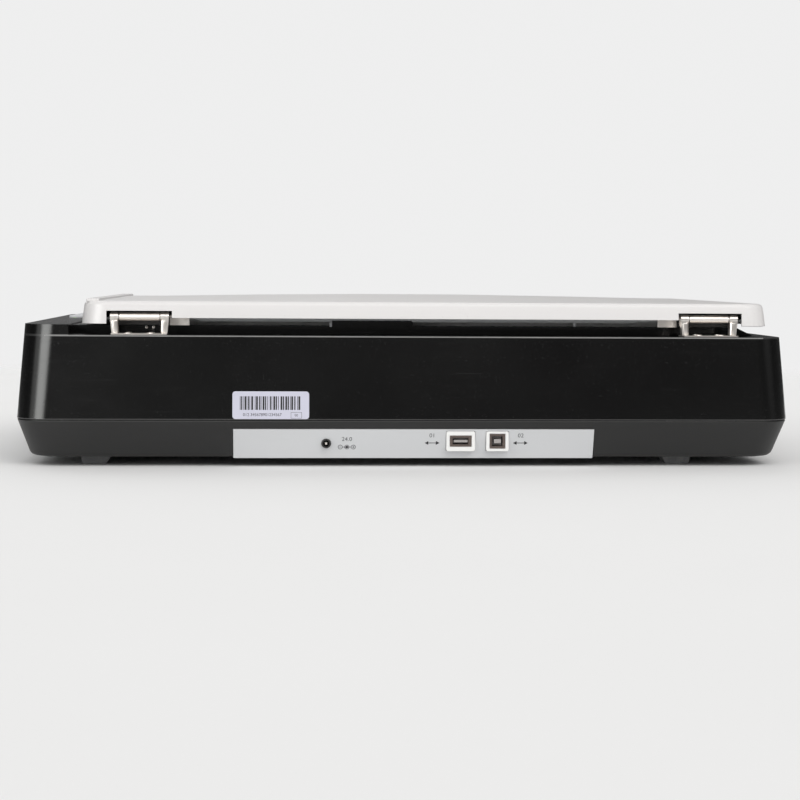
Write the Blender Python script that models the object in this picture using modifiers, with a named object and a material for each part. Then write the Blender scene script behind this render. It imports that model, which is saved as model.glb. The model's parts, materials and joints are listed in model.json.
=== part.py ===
"""A flatbed scanner for large sheets, as an assembly of its separate pieces.

Metres, +Z up. +Y is the rear, where the sockets and the lid's hinges are, and +X is the end with
the control strip. The origin is on the surface that the feet stand on, under the body's centre.
"""

import itertools
import math

import bmesh
import bpy
from mathutils import Matrix, Vector

# Clearances
GAP = 0.0003
OVERRUN = 0.004
TOLERANCE = 0.00001

# Body: tub below the seam, shell above it
BODY_WIDTH = 0.620
BODY_DEPTH = 0.400
FOOT_HEIGHT = 0.0076
TUB_HEIGHT = 0.0299
SHELL_HEIGHT = 0.0665
DECK_RISE = 0.0069
STRIP_RISE = 0.0015
TUB_INSET = 0.0098
SHELL_INSET = 0.0061
CORNER_RADIUS = 0.026
WALL = 0.0028
SEAM_ROUNDING = 0.0007
SEAM_SEGMENTS = 2
TUB_ROUNDING = 0.0036
TUB_SEGMENTS = 4
SEAM_Z = FOOT_HEIGHT + TUB_HEIGHT
LEDGE_Z = SEAM_Z + SHELL_HEIGHT
DECK_Z = LEDGE_Z + DECK_RISE
STRIP_Z = DECK_Z + STRIP_RISE
CEILING_Z = DECK_Z - WALL
FLOOR_Z = FOOT_HEIGHT + WALL

# Deck: the raised top that carries the glass, with a ledge behind it, a low margin at -X and
# the control strip, a little higher, at +X
LEDGE_DEPTH = 0.050
STRIP_WIDTH = 0.0428
MARGIN_WIDTH = 0.0358
MARGIN_RAMP = 0.0135
DECK_REAR_Y = BODY_DEPTH / 2 - LEDGE_DEPTH
STRIP_X = BODY_WIDTH / 2 - STRIP_WIDTH
DECK_END_X = MARGIN_WIDTH - BODY_WIDTH / 2
LOCATOR_WIDTH = 0.0678
LOCATOR_DEPTH = 0.009
LOCATOR_RISE = 0.0046
LOCATOR_X = 0.0270
LOCATOR_ROOM = 0.001

# Glass and the window over it
WINDOW_END_BORDER = 0.0527
WINDOW_SIDE_BORDER = 0.022
BEZEL_THICKNESS = 0.0012
GLASS_MARGIN = 0.009
GLASS_END_MARGIN = 0.013
GLASS_THICKNESS = 0.0028
WINDOW_LENGTH = STRIP_X - DECK_END_X - 2 * WINDOW_END_BORDER
WINDOW_WIDTH = DECK_REAR_Y + BODY_DEPTH / 2 - 2 * WINDOW_SIDE_BORDER
WINDOW_X = (STRIP_X + DECK_END_X) / 2
WINDOW_Y = (DECK_REAR_Y - BODY_DEPTH / 2) / 2
GLASS_TOP_Z = DECK_Z - BEZEL_THICKNESS - GAP
GLASS_Z = GLASS_TOP_Z - GLASS_THICKNESS
CALIBRATION_WIDTH = 0.009
CALIBRATION_THICKNESS = 0.0005
CALIBRATION_X = WINDOW_X + WINDOW_LENGTH / 2 + GLASS_END_MARGIN / 2

# Feet
FOOT_WIDTH = 0.0195
FOOT_DEPTH = 0.024
FOOT_OUTER_FLARE = 0.0012
FOOT_INNER_FLARE = 0.0042
FOOT_ROUNDING = 0.0009
FOOT_LEFT_INSET = 0.0602
FOOT_RIGHT_INSET = 0.0867
FOOT_SIDE_INSET = 0.045

# Lid
LID_END_INSET = 0.017
LID_FRONT_INSET = 0.012
LID_SIDE_HEIGHT = 0.0179
LID_RIM_GAP = 0.002
LID_CROWN = 0.0045
LID_DRAFT_INSET = 0.0022
LID_WALL = 0.0022
LID_CORNER_RADIUS = 0.017
LID_EDGE_RADIUS = 0.0032
LID_CORNER_SEGMENTS = 6
LID_EDGE_SEGMENTS = 3
LID_STRIP_GAP = 0.0083
LID_SKIRT_RISE = 0.0047
BEAD_WIDTH = 0.0102
BEAD_RISE = 0.0018
BEAD_INSET = 0.0043
LID_LENGTH = STRIP_X - LID_STRIP_GAP + BODY_WIDTH / 2 - LID_END_INSET
LID_X = STRIP_X - LID_STRIP_GAP - LID_LENGTH / 2
LID_Z = DECK_Z + LID_RIM_GAP
LID_TOP_Z = LID_Z + LID_SIDE_HEIGHT

# Lid hinges
HINGE_BACK = 0.007
HINGE_RISE = 0.0143
HINGE_INSET = 0.021
HINGE_WIDTH = 0.0462
HINGE_LEFT_INSET = 0.0464
HINGE_RIGHT_INSET = 0.0485
HINGE_PLATE = 0.0016
BASE_PLATE = 0.001
BASE_PLATE_DEPTH = 0.022
CUTOUT_WIDTH = 0.0516
CUTOUT_RISE = 0.0048
CHEEK_WIDTH = 0.0065
CHEEK_ARM_WIDTH = 0.0042
CHEEK_RADIUS = 0.0037
BARREL_RADIUS = 0.0033
BARREL_SIDE_GAP = 0.0008
PIN_RADIUS = 0.002
LEAF_REACH = 0.048
LEAF_EAR_WIDTH = 0.0155
LEAF_EAR_DROP = 0.0065
LEAF_EAR_Y = 0.016
HINGE_Y = BODY_DEPTH / 2 - HINGE_INSET
HINGE_Z = LEDGE_Z + HINGE_RISE
LID_REAR_Y = HINGE_Y + HINGE_BACK
LID_DEPTH = LID_REAR_Y + BODY_DEPTH / 2 - LID_FRONT_INSET
LID_Y = LID_REAR_Y - LID_DEPTH / 2
HINGES_X = {
    "left": LID_X + LID_LENGTH / 2 - HINGE_LEFT_INSET,
    "right": LID_X - LID_LENGTH / 2 + HINGE_RIGHT_INSET,
}

# Lid's inner panel, with a turned-down lip along its rear edge
PANEL_THICKNESS = 0.002
PANEL_TOP_DROP = 0.0009
LIP_Y_INSET = 0.024
LIP_DROP = 0.001
LIP_THICKNESS = 0.002
LIP_LEFT_END_X = 0.1659
LIP_LEFT_START_X = 0.0593
LIP_RIGHT_START_X = -0.0058
LIP_RIGHT_END_X = -0.1898
TAB_WIDTH = 0.002
TAB_LEFT_X = 0.0603
TAB_LEFT_DROP = 0.0052
TAB_RIGHT_X = -0.139
TAB_RIGHT_DROP = 0.0041
PAD_MARGIN = 0.003
PAD_ROUNDING = 0.0012
BUMPER_RADIUS = 0.004
BUMPER_INSET = 0.016
PANEL_TOP_Z = HINGE_Z - PANEL_TOP_DROP
PANEL_Z = PANEL_TOP_Z - PANEL_THICKNESS
LIP_Y = HINGE_Y - LIP_Y_INSET
LIP_STRETCHES_X = (
    (LIP_LEFT_START_X, LIP_LEFT_END_X),
    (LIP_RIGHT_END_X, LIP_RIGHT_START_X),
)
TABS = ((TAB_LEFT_X, TAB_LEFT_DROP), (TAB_RIGHT_X, TAB_RIGHT_DROP))

# Socket panel, set flush in the tub's sloping rear wall
SOCKET_PANEL_WIDTH = 0.2874
SOCKET_PANEL_HEIGHT = 0.0248
SOCKET_PANEL_X = -0.0056
SOCKET_PANEL_TOP_DROP = 0.0072
SOCKET_FACE_INSET = 0.003
SOCKET_FACE_Y = BODY_DEPTH / 2 - SOCKET_FACE_INSET
SLOPE = math.atan2(TUB_INSET, TUB_HEIGHT)
SOCKET_PANEL_THICKNESS = WALL * math.cos(SLOPE)

# Sockets, from the face inwards
JACK_X = 0.0646
JACK_Z = 0.0187
JACK_RADIUS = 0.00365
JACK_BORE = 0.0026
JACK_DEPTH = 0.009
JACK_BODY = 0.009
JACK_PROUD = 0.0035
JACK_PIN_RADIUS = 0.001
JACK_PIN_SETBACK = 0.0018
JACK_ROUNDING = 0.0003
BEZEL_HEIGHT = 0.016
BEZEL_DEPTH = 0.009
BEZEL_CORNER = 0.0015
PORTS = {
    "usb_host": {
        "x": -0.0424,
        "bezel_width": 0.023,
        "flange": (0.0172, 0.0086),
        "opening": (0.0125, 0.0051),
        "tongue": (0.0111, 0.00184),
    },
    "usb_device": {
        "x": -0.0718,
        "bezel_width": 0.018,
        "flange": (0.0122, 0.0115),
        "opening": (0.00845, 0.0078),
        "tongue": (0.0056, 0.0032),
    },
}
PORT_LIFT = 0.0045
PORT_SHEET = 0.0005
PORT_FLANGE = 0.0008
PORT_DEPTH = 0.0135
PORT_CAVITY = 0.010
TONGUE_SETBACK = 0.001
INSERT_DEPTH = 0.0024

# Main board, on four bosses of the tub's floor
BOARD_LENGTH = 0.170
BOARD_WIDTH = 0.075
BOARD_THICKNESS = 0.0016
BOARD_LIFT = 0.0043
BOARD_REAR_INSET = 0.0165
BOARD_BOSS_RADIUS = 0.0035
BOARD_BOSS_INSET = 0.006
CHIP_HEIGHT = 0.002
BOARD_Z = FLOOR_Z + BOARD_LIFT
BOARD_TOP_Z = BOARD_Z + BOARD_THICKNESS
BOARD_REAR_Y = BODY_DEPTH / 2 - BOARD_REAR_INSET
PORT_Z = BOARD_TOP_Z + PORT_LIFT

# Carriage, its guide rod and the rail under its front end
ROD_RADIUS = 0.004
ROD_LIFT = 0.0462
ROD_SHIFT_Y = 0.055
ROD_END_INSET = 0.014
ROD_POST_INSET = 0.0275
ROD_POST_SIZE = 0.013
CARRIAGE_WIDTH = 0.060
CARRIAGE_OVERLAP = 0.004
CARRIAGE_GLASS_GAP = 0.0072
CARRIAGE_WALL = 0.002
CARRIAGE_LIFT = 0.008
CARRIAGE_CORNER = 0.006
COVER_THICKNESS = 0.0012
SLIT_WIDTH = 0.005
SADDLE_WALL = 0.0023
BUSH_WALL = 0.0022
BUSH_LENGTH = 0.012
RAIL_INSET = 0.035
RAIL_SHEET = 0.0015
RAIL_FLANGE = 0.011
RAIL_END_INSET = 0.026
SHOE_WIDTH = 0.008
SHOE_LENGTH = 0.040
SHOE_THICKNESS = 0.003
LAMP_RADIUS = 0.0016
LAMP_DROP = 0.004
LAMP_OFFSET_X = 0.009
MIRROR_WIDTH_SHARE = 0.29
MIRROR_THICKNESS = 0.002
LENS_RADIUS_SHARE = 0.2
LENS_LENGTH = 0.018
LENS_X_SHARE = 0.08
MIRROR_SHARES = ((0.0, 0.62, -45), (-0.30, 0.66, -45), (-0.30, 0.24, 45))
SENSOR_LENGTH = 0.070
SENSOR_HEIGHT_SHARE = 0.63
SENSOR_THICKNESS = 0.0016
ROD_Z = FLOOR_Z + ROD_LIFT
CARRIAGE_Z = ROD_Z + CARRIAGE_LIFT
CARRIAGE_TOP_Z = GLASS_Z - CARRIAGE_GLASS_GAP
CARRIAGE_HEIGHT = CARRIAGE_TOP_Z - CARRIAGE_Z
CARRIAGE_FLOOR_Z = CARRIAGE_Z + CARRIAGE_WALL
CARRIAGE_LENGTH = WINDOW_WIDTH + 2 * CARRIAGE_OVERLAP
CARRIAGE_INNER_LENGTH = CARRIAGE_LENGTH - 2 * CARRIAGE_WALL
ROD_Y = WINDOW_Y + ROD_SHIFT_Y
RAIL_Y = RAIL_INSET - BODY_DEPTH / 2

# Belt drive at -X, idler and tension spring at +X
BELT_SHIFT_Y = 0.032
BELT_WIDTH = 0.006
BELT_THICKNESS = 0.0012
PULLEY_PITCH_RADIUS = 0.008
PULLEY_FLANGE_RADIUS = 0.0095
PULLEY_FLANGE = 0.0012
DRIVE_INSET_X = 0.048
IDLER_INSET_X = 0.044
GEAR_MODULE = 0.0008
GEAR_TEETH = 40
PINION_TEETH = 12
ADDENDUM_SHARE = 0.85
DEDENDUM_SHARE = 1.25
TOOTH_SHARES = (-0.28, -0.11, 0.11, 0.28)
GEAR_THICKNESS = 0.004
GEAR_LIFT = 0.0006
AXLE_RADIUS = 0.002
MOTOR_RADIUS = 0.0175
MOTOR_LENGTH = 0.020
MOTOR_SHAFT_RADIUS = 0.0015
BRACKET_SHEET = 0.0015
BRACKET_LENGTH = 0.048
BRACKET_FOOT = 0.010
BRACKET_HEIGHT = 0.0319
BRACKET_FRONT = 0.015
BRACKET_REAR = 0.0025
IDLER_BRACKET_LENGTH = 0.024
IDLER_BRACKET_WIDTH = 0.022
SPRING_RADIUS = 0.0028
SPRING_WIRE = 0.0004
SPRING_TURNS = 6
SPRING_STEPS = 10
SPRING_ROOM = 0.0105
SPRING_POST = 0.003
CLIP_LENGTH = 0.020
CLIP_WALL = 0.0018
BELT_Y = ROD_Y + BELT_SHIFT_Y
BELT_TOP_Z = ROD_Z
BELT_Z = BELT_TOP_Z - BELT_WIDTH
DRIVE_X = DRIVE_INSET_X - BODY_WIDTH / 2
IDLER_X = BODY_WIDTH / 2 - IDLER_INSET_X
BRACKET_TOP_Z = FLOOR_Z + GAP + BRACKET_HEIGHT
GEAR_Z = BRACKET_TOP_Z + GEAR_LIFT
GEAR_PITCH_RADIUS = GEAR_MODULE * GEAR_TEETH / 2
PINION_PITCH_RADIUS = GEAR_MODULE * PINION_TEETH / 2
MOTOR_Y = BELT_Y + GEAR_PITCH_RADIUS + PINION_PITCH_RADIUS

# Keys on the control strip
KEY_COUNT = 5
KEY_WIDTH = 0.014
KEY_LENGTH = 0.016
KEY_PITCH = 0.024
KEY_FIRST_INSET = 0.050
KEY_CORNER = 0.003
KEY_PROUD = 0.0016
KEY_ROUNDING = 0.0004
KEY_FLANGE = 0.0014
KEY_FLANGE_THICKNESS = 0.0012
KEY_STEM = 0.0035
KEY_STEM_GAP = 0.0014
KEY_BOARD_WIDTH = 0.024
KEY_BOARD_MARGIN = 0.017
KEY_BOARD_THICKNESS = 0.0016
KEY_BOARD_DROP = 0.0071
KEY_BOSS_RADIUS = 0.0034
STATUS_WIDTH = 0.003
STATUS_LENGTH = 0.007
STATUS_CORNER = 0.001
KEY_X = (STRIP_X + BODY_WIDTH / 2 - SHELL_INSET) / 2
KEY_FIRST_Y = KEY_FIRST_INSET - BODY_DEPTH / 2
STATUS_Y = KEY_FIRST_Y + KEY_COUNT * KEY_PITCH

# Facets
ROUND_SIDES = 32
SMALL_SIDES = 20
THIN_SIDES = 16
CORNER_STEPS = 6
BELT_STEPS = 12
SMOOTH_BELOW = math.radians(35)
ROUND_ABOVE = math.radians(50)
CORNER_ABOVE = math.radians(60)
CROWN_CELLS = (12, 8)

# Finishes: colour, roughness, metallic
FINISHES = {
    "black_shell": ((0.012, 0.012, 0.012), 0.32, 0.0),
    "grey_tub": ((0.045, 0.045, 0.045), 0.50, 0.0),
    "white_cover": ((0.86, 0.85, 0.84), 0.38, 0.0),
    "grey_panel": ((0.58, 0.60, 0.62), 0.50, 0.0),
    "light_panel": ((0.62, 0.65, 0.67), 0.45, 0.0),
    "white_plastic": ((0.85, 0.85, 0.84), 0.40, 0.0),
    "black_plastic": ((0.02, 0.02, 0.02), 0.45, 0.0),
    "natural_plastic": ((0.80, 0.76, 0.66), 0.45, 0.0),
    "rubber": ((0.025, 0.025, 0.025), 0.85, 0.0),
    "foam": ((0.88, 0.88, 0.87), 0.90, 0.0),
    "clear_glass": ((0.90, 0.95, 0.93), 0.05, 0.0),
    "board_green": ((0.02, 0.16, 0.07), 0.50, 0.0),
    "nickel": ((0.74, 0.68, 0.62), 0.30, 1.0),
    "steel": ((0.60, 0.60, 0.60), 0.35, 1.0),
    "spring_steel": ((0.45, 0.45, 0.46), 0.30, 1.0),
    "brass": ((0.78, 0.60, 0.28), 0.35, 1.0),
    "mirror": ((0.92, 0.93, 0.94), 0.03, 1.0),
    "amber_lens": ((0.55, 0.75, 0.45), 0.20, 0.0),
}

# Turns an outline drawn in YZ so that it is extruded along X, and one in XZ along Y
ALONG_X = Matrix(((0, 0, 1), (1, 0, 0), (0, 1, 0))).to_4x4()
ALONG_Y = Matrix(((1, 0, 0), (0, 0, -1), (0, 1, 0))).to_4x4()
ALONG_Z = Matrix.Identity(4)

for old in list(bpy.data.objects):
    bpy.data.objects.remove(old, do_unlink=True)

PARTS = bpy.data.collections.new("flatbed_scanner")
CUTTERS = bpy.data.collections.new("cutters")
bpy.context.scene.collection.children.link(PARTS)
bpy.context.scene.collection.children.link(CUTTERS)


def add_object(name, data, finish=None):
    """A piece with its own material, or without a finish a helper that only cuts or joins."""
    obj = bpy.data.objects.new(name, data)
    if finish is None:
        CUTTERS.objects.link(obj)
        obj.hide_render = True
        obj.display_type = "WIRE"
        return obj
    PARTS.objects.link(obj)
    colour, roughness, metallic = FINISHES[finish]
    material = bpy.data.materials.new(f"{name}_{finish}")
    material.use_nodes = True
    shader = material.node_tree.nodes["Principled BSDF"]
    shader.inputs["Base Color"].default_value = (*colour, 1.0)
    shader.inputs["Roughness"].default_value = roughness
    shader.inputs["Metallic"].default_value = metallic
    data.materials.append(material)
    return obj


def add_shape(name, shape, finish=None, smooth=False):
    """A piece or helper from a bmesh."""
    mesh = bpy.data.meshes.new(name)
    shape.to_mesh(mesh)
    shape.free()
    if smooth:
        mesh.shade_smooth()
        mesh.set_sharp_from_angle(angle=SMOOTH_BELOW)
    return add_object(name, mesh, finish)


def pivot(name, place):
    """An empty on a joint's axis, which carries the pieces of one moving body."""
    empty = bpy.data.objects.new(name, None)
    PARTS.objects.link(empty)
    empty.location = place
    return empty


def carry(empty, *pieces):
    """Parents pieces to an empty and leaves them where they are."""
    for piece in pieces:
        piece.parent = empty
        piece.matrix_parent_inverse = Matrix.Translation(empty.location).inverted()


def block(name, low, high, finish=None, corner=0.0, taper=(0.0, 0.0)):
    """A box between two corners, its upright edges rounded, its top drawn in by the taper."""
    low = Vector(low)
    high = Vector(high)
    shape = bmesh.new()
    bmesh.ops.create_cube(shape, size=1.0, matrix=Matrix.Diagonal((*(high - low), 1.0)))
    for vert in shape.verts:
        if vert.co.z > 0:
            vert.co.x -= taper[0] * math.copysign(1, vert.co.x)
            vert.co.y -= taper[1] * math.copysign(1, vert.co.y)
    if corner:
        upright = [e for e in shape.edges if e.verts[0].co.z * e.verts[1].co.z < 0]
        bmesh.ops.bevel(
            shape, geom=upright, offset=corner, segments=CORNER_STEPS, profile=0.5, affect="EDGES"
        )
    obj = add_shape(name, shape, finish, smooth=bool(corner))
    obj.location = (low + high) / 2
    return obj


def cylinder(name, radius, start, end, finish=None, sides=ROUND_SIDES, end_radius=None):
    """A round bar between two points on its axis."""
    start = Vector(start)
    end = Vector(end)
    shape = bmesh.new()
    bmesh.ops.create_cone(
        shape,
        cap_ends=True,
        segments=sides,
        radius1=radius,
        radius2=radius if end_radius is None else end_radius,
        depth=(end - start).length,
    )
    obj = add_shape(name, shape, finish, smooth=True)
    obj.rotation_euler = (end - start).to_track_quat("Z", "Y").to_euler()
    obj.location = (start + end) / 2
    return obj


def turned(name, profile, place, finish=None, sides=ROUND_SIDES, closed=False):
    """A solid of revolution about Z from (radius, height) points, run down the outer side."""
    shape = bmesh.new()
    points = [shape.verts.new((radius, 0.0, height)) for radius, height in profile]
    for first, second in zip(points, points[1:] + points[:1] if closed else points[1:]):
        shape.edges.new((first, second))
    obj = add_shape(name, shape, finish)
    obj.location = place
    screw = obj.modifiers.new("turn", "SCREW")
    screw.steps = sides
    screw.render_steps = sides
    screw.use_merge_vertices = True
    screw.merge_threshold = TOLERANCE
    screw.use_smooth_shade = True
    return obj


def extruded(name, outlines, thickness, place, turn=ALONG_Z, finish=None):
    """Flat closed outlines given a thickness about their plane. An inner outline is a hole."""
    curve = bpy.data.curves.new(name, "CURVE")
    curve.dimensions = "2D"
    curve.fill_mode = "BOTH"
    curve.extrude = thickness / 2
    for outline in outlines:
        spline = curve.splines.new("POLY")
        spline.points.add(len(outline) - 1)
        for point, (x, y) in zip(spline.points, outline):
            point.co = (x, y, 0.0, 1.0)
        spline.use_cyclic_u = True
    guide = add_object(f"{name}_outline", curve)
    bpy.context.view_layer.update()
    graph = bpy.context.evaluated_depsgraph_get()
    mesh = bpy.data.meshes.new_from_object(guide.evaluated_get(graph))
    bpy.data.objects.remove(guide, do_unlink=True)
    shape = bmesh.new()
    shape.from_mesh(mesh)
    bpy.data.meshes.remove(mesh)
    bmesh.ops.remove_doubles(shape, verts=shape.verts, dist=TOLERANCE)
    bmesh.ops.recalc_face_normals(shape, faces=shape.faces)
    obj = add_shape(name, shape, finish, smooth=True)
    obj.matrix_world = Matrix.Translation(place) @ turn
    return obj


def combine(obj, other, operation):
    modifier = obj.modifiers.new(other.name, "BOOLEAN")
    modifier.operation = operation
    modifier.object = other
    modifier.solver = "EXACT"


def cut(obj, *cutters):
    for cutter in cutters:
        combine(obj, cutter, "DIFFERENCE")


def join(obj, *others):
    for other in others:
        combine(obj, other, "UNION")


def round_edges(obj, width, segments=2):
    """Rounds the sharp edges, in the order of the piece's other modifiers."""
    bevel = obj.modifiers.new("rounding", "BEVEL")
    bevel.width = width
    bevel.segments = segments
    bevel.limit_method = "ANGLE"
    bevel.angle_limit = ROUND_ABOVE
    bevel.harden_normals = False
    return bevel


def arc(centre, radius, start, end, steps):
    """Points on a circle between two angles in degrees, ends included."""
    points = []
    for step in range(steps + 1):
        angle = math.radians(start + (end - start) * step / steps)
        points.append((centre[0] + radius * math.cos(angle), centre[1] + radius * math.sin(angle)))
    return points


def sheet_section(line, thickness):
    """The closed section of a bent sheet whose middle follows a line of points."""
    sides = ([], [])
    for index, point in enumerate(line):
        here = Vector(point)
        before = Vector(line[max(index - 1, 0)])
        after = Vector(line[min(index + 1, len(line) - 1)])
        directions = [(b - a).normalized() for a, b in ((before, here), (here, after)) if a != b]
        normals = [Vector((-d.y, d.x)) for d in directions]
        mitre = sum(normals, Vector((0.0, 0.0))).normalized()
        reach = thickness / 2 / mitre.dot(normals[0])
        sides[0].append(tuple(here + mitre * reach))
        sides[1].append(tuple(here - mitre * reach))
    return sides[0] + sides[1][::-1]


def round_rim(obj, side, width, segments):
    """Rounds the rim round a block's top, side 1, or bottom, side -1."""
    shape = bmesh.new()
    shape.from_mesh(obj.data)
    level = side * max(vert.co.z * side for vert in shape.verts)
    rim = [e for e in shape.edges if all(abs(v.co.z - level) < TOLERANCE for v in e.verts)]
    bmesh.ops.bevel(shape, geom=rim, offset=width, segments=segments, profile=0.5, affect="EDGES")
    shape.to_mesh(obj.data)
    shape.free()


def shell_half(z, inset):
    """The shell's half width and half depth at a height, a wall's thickness in if need be."""
    drawn_in = inset + SHELL_INSET * (z - SEAM_Z) / (STRIP_Z - SEAM_Z)
    return BODY_WIDTH / 2 - drawn_in, BODY_DEPTH / 2 - drawn_in


def tub_half(z, inset):
    """The tub's half width and half depth at a height."""
    drawn_in = inset + TUB_INSET * (SEAM_Z - z) / TUB_HEIGHT
    return BODY_WIDTH / 2 - drawn_in, BODY_DEPTH / 2 - drawn_in


def frustum(name, half_at, inset, bottom, top, finish=None):
    """A block whose sides follow the shell's or the tub's draft."""
    x, y = half_at(bottom, inset)
    top_x, top_y = half_at(top, inset)
    radius = CORNER_RADIUS - inset
    return block(name, (-x, -y, bottom), (x, y, top), finish, radius, (x - top_x, y - top_y))


def deck_and_ledge(name, grow):
    """The air over the deck and the rear ledge, a wall larger where it shapes the cavity."""
    rear = DECK_REAR_Y - grow
    bottom = LEDGE_Z - grow
    top = STRIP_Z + OVERRUN
    outline = [
        (-BODY_DEPTH, DECK_Z),
        (rear, DECK_Z),
        (rear, bottom),
        (BODY_DEPTH, bottom),
        (BODY_DEPTH, top),
        (-BODY_DEPTH, top),
    ]
    middle = STRIP_X + grow - BODY_WIDTH / 2
    return extruded(name, [outline], BODY_WIDTH, (middle, 0, 0), ALONG_X)


def low_margin(name, grow):
    """What is missing past the deck's -X end, which slopes down to the ledge's level."""
    foot = DECK_END_X + grow - MARGIN_RAMP
    bottom = LEDGE_Z - grow
    rise = 2 * (DECK_Z - bottom)
    outline = [
        (foot, bottom),
        (foot + 2 * MARGIN_RAMP, bottom + rise),
        (-BODY_WIDTH, bottom + rise),
        (-BODY_WIDTH, bottom),
    ]
    return extruded(name, [outline], BODY_DEPTH * 3, (0, 0, 0), ALONG_Y)


def upper_housing():
    """The glossy shell: deck, rear ledge, low margin and control strip, open below."""
    shell = frustum("upper_housing", shell_half, 0, SEAM_Z + GAP / 2, STRIP_Z, "black_shell")
    round_rim(shell, -1, SEAM_ROUNDING, SEAM_SEGMENTS)
    cut(shell, deck_and_ledge("deck_space", 0), low_margin("margin_space", 0))
    join(shell, locator())
    round_edges(shell, SEAM_ROUNDING)
    cavity = frustum("shell_cavity", shell_half, WALL, SEAM_Z - OVERRUN, CEILING_Z)
    cut(cavity, deck_and_ledge("ledge_wall", WALL), low_margin("margin_wall", WALL))
    cut(shell, cavity, glass_seat(), window())
    join(shell, *key_board_bosses())
    cut(shell, *key_holes())
    return shell


def locator():
    """The block on the deck's rear edge, between the two stretches of the lid's lip."""
    rear = DECK_REAR_Y - GAP
    low = (LOCATOR_X - LOCATOR_WIDTH / 2, rear - LOCATOR_DEPTH, DECK_Z - WALL / 2)
    high = (LOCATOR_X + LOCATOR_WIDTH / 2, rear, DECK_Z + LOCATOR_RISE)
    return block("locator", low, high)


def around_window(name, margin_x, margin_y, bottom, top, finish=None, corner=0.0):
    half_x = WINDOW_LENGTH / 2 + margin_x
    half_y = WINDOW_WIDTH / 2 + margin_y
    low = (WINDOW_X - half_x, WINDOW_Y - half_y, bottom)
    high = (WINDOW_X + half_x, WINDOW_Y + half_y, top)
    return block(name, low, high, finish, corner)


def window():
    return around_window("window", 0, 0, CEILING_Z - OVERRUN, DECK_Z + OVERRUN)


def glass_seat():
    """The pocket under the deck that the glass is bonded into."""
    end = GLASS_END_MARGIN + GAP
    side = GLASS_MARGIN + GAP
    return around_window("glass_seat", end, side, CEILING_Z - OVERRUN, DECK_Z - BEZEL_THICKNESS)


def glass():
    """The platen glass, and the white strip under its end that the sensor is calibrated on."""
    around_window(
        "platen_glass", GLASS_END_MARGIN, GLASS_MARGIN, GLASS_Z, GLASS_TOP_Z, "clear_glass"
    )
    top = GLASS_Z - GAP
    half_y = WINDOW_WIDTH / 2
    low = (CALIBRATION_X - CALIBRATION_WIDTH / 2, WINDOW_Y - half_y, top - CALIBRATION_THICKNESS)
    high = (CALIBRATION_X + CALIBRATION_WIDTH / 2, WINDOW_Y + half_y, top)
    block("calibration_strip", low, high, "white_plastic")


def lower_housing():
    """The grey tub, with the posts and bosses that carry what stands in it."""
    tub = frustum("lower_housing", tub_half, 0, FOOT_HEIGHT, SEAM_Z - GAP / 2, "grey_tub")
    round_rim(tub, -1, TUB_ROUNDING, TUB_SEGMENTS)
    round_rim(tub, 1, SEAM_ROUNDING, SEAM_SEGMENTS)
    cut(tub, frustum("tub_cavity", tub_half, WALL, FLOOR_Z, SEAM_Z + OVERRUN))
    join(tub, *rod_posts(), *board_bosses(), idler_post(), spring_post())
    cut(tub, rod_bore("post_saddles", ROD_RADIUS + GAP), socket_opening())
    return tub


def rod_posts():
    half = ROD_POST_SIZE / 2
    posts = []
    for side, name in ((1, "rod_post_a"), (-1, "rod_post_b")):
        x = side * (BODY_WIDTH / 2 - ROD_POST_INSET)
        low = (x - half, ROD_Y - half, FLOOR_Z - WALL / 2)
        posts.append(block(name, low, (x + half, ROD_Y + half, ROD_Z)))
    return posts


def rod_bore(name, radius, finish=None):
    """A bar on the guide rod's line: the rod itself, or what seats it."""
    reach = BODY_WIDTH / 2 - ROD_END_INSET
    return cylinder(name, radius, (-reach, ROD_Y, ROD_Z), (reach, ROD_Y, ROD_Z), finish)


def board_bosses():
    bosses = []
    for i, side_x in enumerate((-1, 1)):
        for j, rear_inset in enumerate((BOARD_BOSS_INSET, BOARD_WIDTH - BOARD_BOSS_INSET)):
            x = SOCKET_PANEL_X + side_x * (BOARD_LENGTH / 2 - BOARD_BOSS_INSET)
            y = BOARD_REAR_Y - rear_inset
            low = (x, y, FLOOR_Z - WALL / 2)
            high = (x, y, BOARD_Z - GAP)
            name = f"board_boss_{i}{j}"
            bosses.append(cylinder(name, BOARD_BOSS_RADIUS, low, high, sides=SMALL_SIDES))
    return bosses


def feet():
    """Four feet, nearly upright on the side towards the body's end and sloping on the other."""
    top = FOOT_HEIGHT - GAP
    half = FOOT_WIDTH / 2
    for side_x, side, inset in ((1, "left", FOOT_LEFT_INSET), (-1, "right", FOOT_RIGHT_INSET)):
        outline = [
            (side_x * half, 0.0),
            (side_x * (half + FOOT_OUTER_FLARE), top),
            (-side_x * (half + FOOT_INNER_FLARE), top),
            (-side_x * half, 0.0),
        ]
        x = side_x * (BODY_WIDTH / 2 - inset)
        for side_y, end in ((-1, "front"), (1, "rear")):
            place = (x, side_y * (BODY_DEPTH / 2 - FOOT_SIDE_INSET), 0)
            name = f"foot_{end}_{side}"
            foot = extruded(name, [outline], FOOT_DEPTH, place, ALONG_Y, "rubber")
            round_edges(foot, FOOT_ROUNDING)


def slope_frame():
    """X across, Y up the tub's sloping rear face, Z inwards from it, at the socket panel's centre."""
    down = (SOCKET_PANEL_TOP_DROP / math.cos(SLOPE)) + SOCKET_PANEL_HEIGHT / 2
    y = BODY_DEPTH / 2 - down * math.sin(SLOPE)
    z = SEAM_Z - down * math.cos(SLOPE)
    rise = math.sin(SLOPE)
    run = math.cos(SLOPE)
    return Matrix(((1, 0, 0, SOCKET_PANEL_X), (0, rise, -run, y), (0, run, rise, z), (0, 0, 0, 1)))


def on_slope(obj):
    """Takes a block drawn in the sloping face's own frame to its place."""
    obj.matrix_world = slope_frame() @ Matrix.Translation(obj.location)
    return obj


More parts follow.
